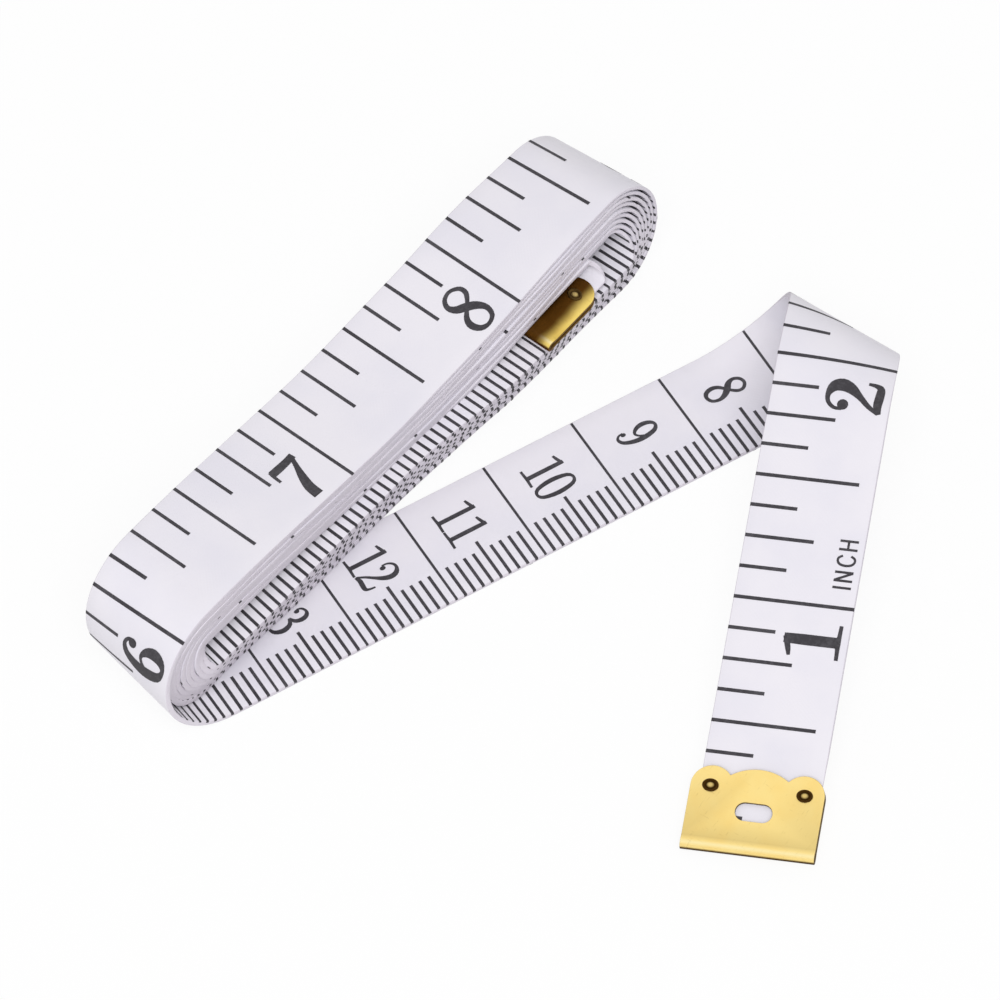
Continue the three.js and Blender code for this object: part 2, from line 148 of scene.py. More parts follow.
class Graph:
    """The node tree of one material or of the world."""

    def __init__(self, tree: bpy.types.NodeTree) -> None:
        """Empty the tree."""
        self.tree = tree
        tree.nodes.clear()

    def node(
        self,
        kind: str,
        settings: Optional[dict] = None,
        sockets: Optional[dict] = None,
        output: Union[int, str] = 0,
    ) -> Wire:
        """Add a node.

        Args:
            kind: The node's type.
            settings: Its own settings, which are set first.
            sockets: Values or wires for its inputs, by name or number.
            output: The output that is returned.

        Returns:
            The chosen output as a wire.
        """
        made = self.tree.nodes.new(kind)
        for name, value in (settings or {}).items():
            setattr(made, name, value)
        for name, value in (sockets or {}).items():
            if isinstance(value, Wire):
                self.tree.links.new(value.socket, made.inputs[name])
            else:
                made.inputs[name].default_value = value
        return Wire(self, made.outputs[output]) if len(made.outputs) else Wire(self, made.inputs[0])

    def maths(self, operation: str, *values: Value) -> Wire:
        """Add a Math node on one or two values."""
        return self.node("ShaderNodeMath", {"operation": operation}, dict(enumerate(values)))

    def mixed(self, share: Value, first: Union[Wire, Colour], second: Union[Wire, Colour]) -> Wire:
        """Mix two colours.

        Args:
            share: How much of the second colour there is.
            first: A colour or a wire.
            second: A colour or a wire.

        Returns:
            The mixed colour.
        """
        full = [c if isinstance(c, Wire) else (*c, 1.0) for c in (first, second)]
        return self.node(
            "ShaderNodeMix", {"data_type": "RGBA"}, {0: share, 6: full[0], 7: full[1]}, 2
        )

    def noise(self, place: Wire, scale: float, detail: float = 3.0, rough: float = 0.5) -> Wire:
        """Add a noise texture.

        Args:
            place: Where it is read.
            scale: Its scale.
            detail: How many finer layers it has.
            rough: How strong those are.

        Returns:
            Its value from 0 to 1.
        """
        return self.node(
            "ShaderNodeTexNoise",
            None,
            {"Vector": place, "Scale": scale, "Detail": detail, "Roughness": rough},
        )

    def attribute(self, name: str) -> Wire:
        """Read a number that the mesh carries."""
        return self.node("ShaderNodeAttribute", {"attribute_name": name}, None, "Fac")

    def part(self, vector: Wire, axis: str) -> Wire:
        """Take one axis of a vector."""
        return self.node("ShaderNodeSeparateXYZ", None, {0: vector}, axis)

    def stretched(self, place: Wire, scale: Colour, turn: Colour) -> Wire:
        """Scale and turn the place at which a texture is read."""
        return self.node(
            "ShaderNodeMapping", None, {"Vector": place, "Scale": scale, "Rotation": turn}
        )

    def bump(self, height: Wire, strength: float, distance: float) -> Wire:
        """Turn a height into a normal."""
        return self.node(
            "ShaderNodeBump", None, {"Height": height, "Strength": strength, "Distance": distance}
        )

    def surface(self, **sockets: Union[Value, Colour]) -> None:
        """Add the main shader and the output.

        Args:
            sockets: The shader's inputs, with low lines for spaces in their names.
        """
        named = {key.replace("_", " "): value for key, value in sockets.items()}
        shader = self.node("ShaderNodeBsdfPrincipled", None, named)
        self.node("ShaderNodeOutputMaterial", None, {"Surface": shader})


def new_graph(name: str) -> tuple[bpy.types.Material, Graph]:
    """Make a material with an empty node tree."""
    material = bpy.data.materials.new(name)
    material.use_nodes = True
    return material, Graph(material.node_tree)


class Finish:
    """A material that is made once, under its own name."""

    name: str

    def material(self) -> bpy.types.Material:
        """Make the material."""
        raise NotImplementedError

    def dress(self, item: bpy.types.Object) -> None:
        """Give an object this material and no other."""
        Bench.dress(item, bpy.data.materials.get(self.name) or self.material())


@dataclass(frozen=True)
class ClothFinish(Finish):
    """White vinyl coat on a fine plain weave; its rims are darker, partly their own grey and partly painted
    shade.
    """

    name: str = "coated_cloth"
    colour: Colour = (0.80, 0.775, 0.83)
    cool: Colour = (0.755, 0.735, 0.805)
    # rim: grey of the cut rims, partly their own tone and partly painted shade of the side band and of the
    # gaps between turns
    rim: Colour = (0.58, 0.53, 0.60)
    thread: float = 0.42
    cloud_scale: float = 0.11
    grain_scale: float = 5.0
    roughness: float = 0.42
    relief: Pair = (0.16, 0.00003)

    def material(self) -> bpy.types.Material:
        """Make the material.

        Returns:
            A satin white that reads the tape's own map in millimetres.
        """
        material, g = new_graph(self.name)
        place = g.node("ShaderNodeUVMap", {"uv_map": "tape_map"})
        rate = 2.0 * math.pi / self.thread
        weave = (g.part(place, "X") * rate).sin() * (g.part(place, "Y") * rate).sin() * 0.5 + 0.5
        cloud = g.noise(place, self.cloud_scale, 4.0)
        grain = g.noise(place, self.grain_scale, 2.0)
        rim = g.attribute("rim")
        body = g.mixed(cloud.between(0.35, 0.7), self.colour, self.cool)
        # rims mixed towards the rim grey: partly their own tone, partly painted shade
        colour = g.mixed(rim * (0.55 + 0.45 * grain), body, self.rim)
        g.surface(
            Base_Color=colour,
            Roughness=self.roughness - 0.05 + grain * 0.1 + rim * 0.2,
            Normal=g.bump(weave * 0.6 + grain * 0.4, *self.relief),
            Specular_IOR_Level=0.4,
        )
        return material


@dataclass(frozen=True)
class InkFinish(Finish):
    """Dark grey printing ink, a little thin in places."""

    name: str = "printing_ink"
    colour: Colour = (0.036, 0.033, 0.039)
    thin: Colour = (0.066, 0.062, 0.071)
    cover_scale: float = 2600.0
    patch_scale: float = 320.0
    roughness: float = 0.5

    def material(self) -> bpy.types.Material:
        """Make the material.

        Returns:
            A dark matt ink with a fine uneven cover.
        """
        material, g = new_graph(self.name)
        place = g.node("ShaderNodeTexCoord", None, None, "Object")
        cover = g.noise(place, self.cover_scale, 3.0, 0.6)
        patch = g.noise(place, self.patch_scale, 2.0)
        spread = (cover * 0.6 + patch * 0.4).between(0.42, 0.66)
        g.surface(
            Base_Color=g.mixed(spread, self.colour, self.thin),
            Roughness=self.roughness + cover * 0.12,
            Specular_IOR_Level=0.35,
        )
        return material


@dataclass(frozen=True)
class BrassFinish(Finish):
    """Thin yellow sheet brass, polished, with fine scratches, and painted shade on its cut edges and in its
    hollows.
    """

    name: str = "sheet_brass"
    colour: Colour = (0.99, 0.77, 0.30)
    warm: Colour = (0.985, 0.73, 0.255)
    # bright: colour of a painted highlight along the clip's bead
    bright: Colour = (1.0, 0.86, 0.46)
    # dull: dark brown that the scratches are mixed a little towards, and that painted shade and dark painted
    # reflections use
    dull: Colour = (0.075, 0.035, 0.007)
    cloud_scale: float = 240.0
    fine_scale: float = 3000.0
    hair: tuple[Colour, Colour] = ((900.0, 9000.0, 900.0), (0.3, 0.2, 0.5))
    cross: tuple[Colour, Colour] = ((7000.0, 700.0, 700.0), (0.1, 0.4, 0.9))
    roughness: float = 0.36
    relief: Pair = (0.08, 0.00003)
    # a band of painted shade and dark reflection across the clip, for a clip in the coil's shade
    tarnish: Optional[Pair] = None
    tarnish_depth: float = 0.985
    tarnish_spread: float = 0.0008

    def material(self) -> bpy.types.Material:
        """Make the material.

        Returns:
            A yellow metal, darkened by painted shade where the piece's attribute for it is set.
        """
        material, g = new_graph(self.name)
        place = g.node("ShaderNodeTexCoord", None, None, "Object")
        # painted shade, read from the mesh
        dull = g.attribute("dull")
        cloud = g.noise(place, self.cloud_scale, 3.0)
        fine = g.noise(place, self.fine_scale, 2.0)
        hair, cross = (g.noise(g.stretched(place, *way), 1.0, 2.0) for way in (self.hair, self.cross))
        scratch = hair.between(0.66, 0.74).most(cross.between(0.68, 0.75))
        body = g.mixed(cloud.between(0.4, 0.72), self.colour, self.warm)
        # painted highlight: the bead's middle mixed towards the bright colour
        body = g.mixed(g.attribute("painted_highlight"), body, self.bright)
        # painted shade and dark reflection over part of the clip, by its place across the coil, with a
        # ragged border
        if self.tarnish:
            patchy = g.part(place, "Y") + (cloud - 0.5) * self.tarnish_spread
            dull = dull.most(patchy.between(*self.tarnish) * self.tarnish_depth)
        marked = g.mixed(scratch * 0.14, body, self.dull)
        g.surface(
            # painted shade mixes the brass towards the dark colour
            Base_Color=g.mixed(dull, marked, self.dull),
            Metallic=1.0,
            Roughness=self.roughness + cloud * 0.08 + scratch * 0.12 + dull * 0.2,
            Normal=g.bump(cloud * 0.5 + fine * 0.2 - scratch * 0.5, *self.relief),
        )
        return material


class Bench:
    """The modelling steps that more than one piece uses."""

    @staticmethod
    def clear() -> None:
        """Leave edit mode and deselect everything."""
        if bpy.context.object and bpy.context.object.mode != "OBJECT":
            bpy.ops.object.mode_set(mode="OBJECT")
        for item in bpy.context.view_layer.objects.selected:
            item.select_set(False)

    @staticmethod
    def take(item: bpy.types.Object) -> None:
        """Select one object and make it the active one."""
        Bench.clear()
        item.select_set(True)
        bpy.context.view_layer.objects.active = item

    @staticmethod
    def edit(item: bpy.types.Object, *steps: Callable[[], object]) -> None:
        """Run steps in edit mode on all of an object's mesh.

        Args:
            item: The object.
            steps: Calls of mesh operators.
        """
        Bench.take(item)
        bpy.ops.object.mode_set(mode="EDIT")
        bpy.ops.mesh.select_all(action="SELECT")
        for step in steps:
            step()
        bpy.ops.object.mode_set(mode="OBJECT")

    @staticmethod
    def apply(item: bpy.types.Object, kind: str, **settings: object) -> None:
        """Add a modifier and apply it.

        Args:
            item: The object.
            kind: The modifier's type.
            settings: The modifier's settings.
        """
        Bench.take(item)
        modifier = item.modifiers.new(kind.lower(), kind)
        for name, value in settings.items():
            setattr(modifier, name, value)
        bpy.ops.object.modifier_apply(modifier=modifier.name)

    @staticmethod
    def cut(item: bpy.types.Object, tool: bpy.types.Object, operation: str) -> None:
        """Shape an object with another one, which is then removed."""
        Bench.apply(item, "BOOLEAN", operation=operation, solver="EXACT", object=tool)
        bpy.data.objects.remove(tool)

    @staticmethod
    def soften(item: bpy.types.Object, degrees: float) -> None:
        """Shade smooth, with edges sharper than an angle kept sharp."""
        Bench.take(item)
        bpy.ops.object.shade_smooth_by_angle(angle=math.radians(degrees))

    @staticmethod
    def prism(name: str, outline: Sequence[Pair], depth: float) -> bpy.types.Object:
        """Extrude a flat outline both ways from its plane.

        Args:
            name: The object's name.
            outline: The corners, in order, in the XY plane.
            depth: The whole depth along Z.

        Returns:
            The closed prism.
        """
        Bench.clear()
        bpy.ops.mesh.primitive_circle_add(vertices=len(outline), radius=1.0, fill_type="NGON")
        item = bpy.context.object
        item.name = name
        for vertex, (x, y) in zip(item.data.vertices, outline):
            vertex.co = (x, y, -depth / 2.0)
        Bench.edit(
            item,
            lambda: bpy.ops.mesh.extrude_region_move(TRANSFORM_OT_translate={"value": (0.0, 0.0, depth)}),
            lambda: bpy.ops.mesh.select_all(action="SELECT"),
            lambda: bpy.ops.mesh.normals_make_consistent(inside=False),
        )
        return item

    @staticmethod
    def mesh(name: str, points: Sequence[Vector], faces: Sequence[tuple[int, ...]]) -> bpy.types.Object:
        """Make an object from points and faces."""
        data = bpy.data.meshes.new(name)
        data.from_pydata(points, [], faces)
        item = bpy.data.objects.new(name, data)
        bpy.context.scene.collection.objects.link(item)
        return item

    @staticmethod
    def mark(item: bpy.types.Object, name: str, values: Sequence[float], domain: str = "POINT") -> None:
        """Write one number for each vertex or face corner of a mesh as a named attribute."""
        item.data.attributes.new(name, "FLOAT", domain).data.foreach_set("value", values)

    @staticmethod
    def dress(item: bpy.types.Object, material: bpy.types.Material) -> None:
        """Give an object its only material."""
        item.data.materials.clear()
        item.data.materials.append(material)


@dataclass(frozen=True)
class Flat:
    """A level stretch of ribbon, carried on past both its ends."""

    origin: Vector
    along: Vector
    across: Vector
    inward: Vector


@dataclass(frozen=True)
class Bend:
    """A stretch of ribbon rolled round a cylinder that is skewed to its width."""

    u: float
    skew: float
    radius: float
    turn: float
    axis: Vector
    onward: Vector
    foot: Vector
    inward: Vector


class Ribbon:
    """A flat ribbon carried along a chain of level stretches and bends."""

    def __init__(self, start: Flat) -> None:
        """Begin with one level stretch."""
        self.flats = [start]
        self.bends: list[Bend] = []

    def bend(self, u: float, skew: float, radius: float, turn: float) -> float:
        """Add a bend.

        Args:
            u: Where its first line crosses the ribbon's middle.
            skew: The lean of its lines.
            radius: Its radius.
            turn: Its angle.

        Returns:
            Where its last line crosses the ribbon's middle.
        """
        flat = self.flats[-1]
        c, s = math.cos(skew), math.sin(skew)
        axis = flat.across * c + flat.along * s
        onward = flat.along * c - flat.across * s
        foot = flat.origin + flat.along * u
        self.bends.append(Bend(u, skew, radius, turn, axis, onward, foot, flat.inward))
        ct, st = math.cos(turn), math.sin(turn)
        next_onward = onward * ct + flat.inward * st
        along = next_onward * c + axis * s
        self.flats.append(
            Flat(
                foot + onward * radius * st + flat.inward * radius * (1.0 - ct)
                - next_onward * radius * turn - along * u,
                along,
                axis * c - next_onward * s,
                flat.inward * ct - onward * st,
            )
        )
        return u + radius * turn / c

    def at(self, u: float, v: float) -> tuple[Vector, Vector]:
        """Find a point of the ribbon.

        Args:
            u: Distance along it.
            v: Distance across it from its middle.

        Returns:
            The place and the inward normal.
        """
        flat = self.flats[0]
        for i, b in enumerate(self.bends):
            c, s = math.cos(b.skew), math.sin(b.skew)
            reach = (u - b.u) * c - v * s
            if reach <= 0.0:
                break
            if reach < b.radius * b.turn:
                angle = reach / b.radius
                place = (
                    b.foot + b.axis * ((u - b.u) * s + v * c)
                    + b.onward * b.radius * math.sin(angle)
                    + b.inward * b.radius * (1.0 - math.cos(angle))
                )
                return place, b.inward * math.cos(angle) - b.onward * math.sin(angle)
            flat = self.flats[i + 1]
        return flat.origin + flat.along * u + flat.across * v, flat.inward


@dataclass
class TapeForm:
    """The tape's sizes in millimetres, and the place of every point of it."""

    length: float = 1518.0
    scale_end: float = 1500.0
    width: float = 11.7
    solid: float = 0.16
    cloth: float = 0.55
    edge_round: float = 0.09
    ink: float = 0.018
    coil_height: float = 13.6
    pitch: float = 0.59
    full_turns: int = 9
    run: float = 59.79
    coil_start: float = 157.1
    end_slack: float = 0.1
    left_reach: float = 25.0
    top_dish: float = 2.0
    tail_room: float = 0.25
    rest_start: float = 0.6
    inner_run: float = 9.0
    inner_lift: float = 0.6
    inner_short: float = 3.7
    inner_back: float = 0.65
    outer_lean: float = 0.6
    inner_lean: float = 1.6
    ledge: float = 0.4
    inner_tuck: float = 0.3
    right_start: float = 26.0
    right_reach: float = 18.0
    right_lean: float = 1.0
    right_inner_lean: float = 1.4
    right_step: float = 0.3
    left_tuck: float = 0.55
    left_tuck_reach: float = 20.0
    end_bulge: float = 0.15
    end_bulge_reach: float = 8.0
    end_loose: float = 0.18
    end_loose_lead: float = 4.0
    end_loose_reach: float = 7.0
    snug_place: float = 5.0
    snug_reach: float = 28.0
    snug_lead: float = 15.0
    snug_sharp: float = 0.65
    pinch_reach: float = 3.5
    wander: float = 0.07
    wander_rate: float = 2.4
    fray: float = 0.05
    fray_lead: float = 10.0
    fray_reach: float = 30.0
    fray_rates: Pair = (0.37, 0.151)
    roll: float = 0.14
    roll_start: float = 46.0
    roll_reach: float = 16.0
    sag: float = 0.75
    sag_start: float = 60.0
    sag_reach: float = 5.5
    sag_power: float = 1.3
    tail_cover: float = 0.6
    tail_skew: float = math.radians(-9.9)
    fold_place: float = 60.5
    fold_skew: float = math.radians(-23.9)
    fold_radius: float = 5.4
    shoulder_radius: float = 11.3
    shoulder_turn: float = math.radians(28.0)
    fold_turn: float = math.radians(193.65)
    clip_reach: float = 7.9
    clip_inset: float = 0.1
    clip_overhang: float = 0.5
    clip_shift: float = 0.2
    fold_lead: float = 1.5
    run_share: float = 0.375
    table_steps: int = 8000

    def __post_init__(self) -> None:
        """Lay out the free stretch and measure the winding."""
        self.end_share = 0.5 - self.run_share
        self.outer_radius = (self.coil_height - self.solid - self.tail_room) / 2.0
        self.middle_height = (self.coil_height + self.tail_room) / 2.0
        self.rest_drop = self.tail_room + self.pitch / 2.0
        self.last_turn = self.full_turns + 0.5 + self.run_share * self.inner_run / self.run
        self.seam = self.end_slack + self.width / 2.0 * abs(math.tan(self.tail_skew))
        top = Vector((0.0, 0.0, self.coil_height - self.solid / 2.0))
        self.ribbon = Ribbon(
            Flat(top, Vector((-1, 0, 0)), Vector((0, 1, 0)), Vector((0, 0, -1)))
        )
        self.loop_end = self.ribbon.bend(
            0.0, self.tail_skew, (self.coil_height - self.solid) / 2.0, math.pi
        )
        crown_turn = self.fold_turn - 2.0 * self.shoulder_turn
        bent = 2.0 * self.shoulder_radius * self.shoulder_turn + self.fold_radius * crown_turn
        self.fold_start = self.coil_start - self.fold_place - bent / math.cos(self.fold_skew) / 2.0
        self.fold_crown = self.ribbon.bend(
            self.fold_start, self.fold_skew, self.shoulder_radius, self.shoulder_turn
        )
        self.fold_top = self.ribbon.bend(self.fold_crown, self.fold_skew, self.fold_radius, crown_turn)
        self.fold_end = self.ribbon.bend(
            self.fold_top, self.fold_skew, self.shoulder_radius, self.shoulder_turn
        )
        self._measure()

    def _measure(self) -> None:
        """Tabulate the length of tape against the turns of the winding."""
        steps = self.table_steps
        self.table_turns = [self.last_turn * i / steps for i in range(steps + 1)]
        points = [self.wound(t) for t in self.table_turns]
        lengths = [0.0]
        for (x0, z0), (x1, z1) in zip(points, points[1:]):
            lengths.append(lengths[-1] + math.hypot(x1 - x0, z1 - z0))
        share = (self.length - self.coil_start) / lengths[-1]
        self.table_length = [self.coil_start + share * d for d in lengths]

    def wound(self, turns: float, v: float = 0.0) -> Pair:
        """The winding's middle line in the XZ plane.

        Args:
            turns: Turns from the outer end.
            v: Distance across the tape; the left ends lie along the tail's skewed bend.

        Returns:
            The place as x and z.
        """
        lap = math.floor(turns)
        share = turns - lap
        radius = self.outer_radius - self.pitch * turns
        inmost = lap == self.full_turns
        right = self.end_slack + self.run - (self.inner_short if inmost else 0.0)

        def skewed(x: float) -> float:
            """Move a place near the left end along the skewed bend."""
            return x - v * math.tan(self.tail_skew) * (1.0 - ease((x - self.end_slack) / self.left_reach))

        if share < self.run_share:
            left = 0.0 if lap == 0 else self.end_slack
            x = left + (right - left) * share / self.run_share
            x = skewed(x) if lap > 0 else x
            wave = math.cos(2.0 * math.pi * max(0.0, x - self.end_slack) / self.run)
            z = radius - self.top_dish * (1.0 - wave) / 2.0
        elif share < 0.5:
            angle = math.pi * (share - self.run_share) / self.end_share
            tight = self.inner_lift / 2.0 if inmost else 0.0
            x = right + (radius - tight) * math.sin(angle)
            z = tight + (radius - tight) * math.cos(angle)
        elif share < 0.5 + self.run_share:
            x = skewed(right - self.run * (share - 0.5) / self.run_share)
            z = -radius
        else:
            angle = math.pi * (share - 0.5 - self.run_share) / self.end_share
            x = skewed(self.end_slack - radius * math.sin(angle))
            z = -radius * math.cos(angle)
        if turns >= self.full_turns + 0.5:
            foot = self.outer_radius - self.pitch * (self.full_turns + 0.5)
            return x, self.middle_height - foot + self.inner_lift - self.rest_drop
        along = ((x - self.end_slack) / self.run - self.rest_start) / (1.0 - self.rest_start)
        return x, self.middle_height + z - self.rest_drop * ease(along)

    def drift(self, turns: float) -> float:
        """The winding's sideways place after a number of turns."""
        share = turns - math.floor(turns)
        low = ease((share - self.run_share) / self.end_share)
        low *= 1.0 - ease((share - 1.0 + self.end_share) / self.end_share)
        depth = turns / self.last_turn
        x, _ = self.wound(turns)
        right = ease((x - self.right_start) / self.right_reach)
        ledge = self.ledge * ease(2.0 * turns - 1.8) * (1.0 - depth)
        outer = self.outer_lean + self.right_lean * right
        outer -= self.left_tuck * (1.0 - ease(x / self.left_tuck_reach))
        inner = self.inner_lean + self.right_inner_lean * right
        lean = outer + (inner - outer) * depth - ledge
        tuck = depth * (self.inner_tuck - (self.inner_tuck + self.right_step) * right)
        bulge = self.end_bulge * ease((x - self.run) / self.end_bulge_reach)
        wander = self.wander * math.sin(self.wander_rate * turns) * ease(turns)
        back = self.inner_back * ease((turns - self.full_turns - self.run_share) / self.end_share)
        return wander - lean * low + tuck * (1.0 - low) - bulge + back

    def turns_at(self, s: float) -> float:
        """Turns of the winding at a distance from the zero end."""
        i = min(max(bisect_right(self.table_length, s), 1), len(self.table_length) - 1)
        low, high = self.table_length[i - 1], self.table_length[i]
        k = (s - low) / (high - low)
        return self.table_turns[i - 1] + k * (self.table_turns[i] - self.table_turns[i - 1])

    def middle(self, s: float, v: float) -> tuple[Vector, Vector]:
        """Find a point of the tape's middle surface.

        Args:
            s: Distance from the zero end.
            v: Distance from the tape's middle, towards the inch edge.

        Returns:
            The place and the inward normal.
        """
        if not self.in_winding(s):
            return self.ribbon.at(self.coil_start - s, v)
        turns = min(self.turns_at(s), self.last_turn)
        step = 1e-4
        x, z = self.wound(turns, v)
        x0, z0 = self.wound(turns - step, v)
        x1, z1 = self.wound(turns + step, v)
        size = math.hypot(x1 - x0, z1 - z0)
        long, short = self.fray_rates
        loose = self.fray * ease((s - self.coil_start - self.fray_lead) / self.fray_reach)
        y = self.drift(turns) + v + loose * (math.sin(long * s) + 0.6 * math.sin(short * s + 1.3))
        rolled = self.roll * v * ease((x - self.roll_start) / self.roll_reach)
        droop = max(0.0, (x - self.sag_start) / self.sag_reach) ** self.sag_power
        sagged = self.sag * (v / self.width + 0.5) * droop
        z -= (rolled + sagged) * z / self.coil_height
        return Vector((x, y, z)), Vector(((z1 - z0) / size, 0.0, -(x1 - x0) / size))

    def in_winding(self, s: float) -> bool:
        """Whether a distance from the zero end lies on the winding."""
        return s >= self.coil_start + self.seam

    def x_at(self, s: float) -> float:
        """The winding's place along its runs at a distance from the zero end."""
        return self.wound(min(self.turns_at(s), self.last_turn))[0]

    def snug(self, s: float) -> float:
        """How closely the turns lie on one another, most at the winding's left end."""
        if not self.in_winding(s):
            return 0.0
        fade = 1.0 - ease((self.x_at(s) - self.snug_place) / self.snug_reach)
        return fade * ease((s - self.coil_start - self.seam) / self.snug_lead)

    def rim_round(self, s: float) -> float:
        """The rounding of the cloth's rims, sharper where the turns lie close."""
        edge = self.edge_round * (1.0 - self.snug_sharp * self.snug(s))
        return min(edge, 0.45 * self.thickness(s))

    def thickness(self, s: float) -> float:
        """The cloth's thickness, pinched by the clips and with room between the turns at the right end."""
        reach = min(s, self.length - s)
        whole = self.cloth
        if self.in_winding(s):
            past = self.x_at(s) - self.run + self.end_loose_lead
            whole -= self.end_loose * ease(past / self.end_loose_reach)
            whole += (self.pitch - self.cloth) * self.snug(s)
        return self.solid + (whole - self.solid) * ease((reach - self.clip_reach) / self.pinch_reach)

    def rim_cover(self, s: float) -> float:
        """How far the ink of the centimetre face runs over the rim, most where that face lies up."""
        if s < self.coil_start - self.fold_start:
            return 0.0
        if not self.in_winding(s):
            round_loop = ease((s - self.coil_start + self.loop_end) / (0.4 * self.loop_end))
            return self.tail_cover * (1.0 - round_loop)
        share = self.turns_at(s) % 1.0
        return ease((share - 0.4) / 0.12) * (1.0 - ease((share - 0.86) / 0.05))

    def point(self, s: float, v: float, depth: float) -> Vector:
        """Find a point of the cloth in metres, in the part's frame.

        Args:
            s: Distance from the zero end.
            v: Distance from the tape's middle, towards the inch edge.
            depth: Distance inwards from the inch face.

        Returns:
            The place.
        """
        place, normal = self.middle(s, v)
        return (place + normal * (depth - self.solid / 2.0) + ORIGIN) * MM

    def depth_of(self, face: Face, s: float) -> float:
        """Depth of the ink on one face."""
        return -self.ink if face is Face.INCH else self.thickness(s) + self.ink

    def stretch_of(self, s: float, v: float) -> Stretch:
        """The stretch of tape that a point is on."""
        u = self.coil_start - s - v * math.tan(self.fold_skew)
        if u < self.fold_start - self.fold_lead:
            return Stretch.COIL
        return Stretch.FOLD if u < self.fold_top else Stretch.FREE_END


@dataclass(frozen=True)
class Row:
    """A line of corners across the cloth."""

    s: float
    skew: float = 0.0


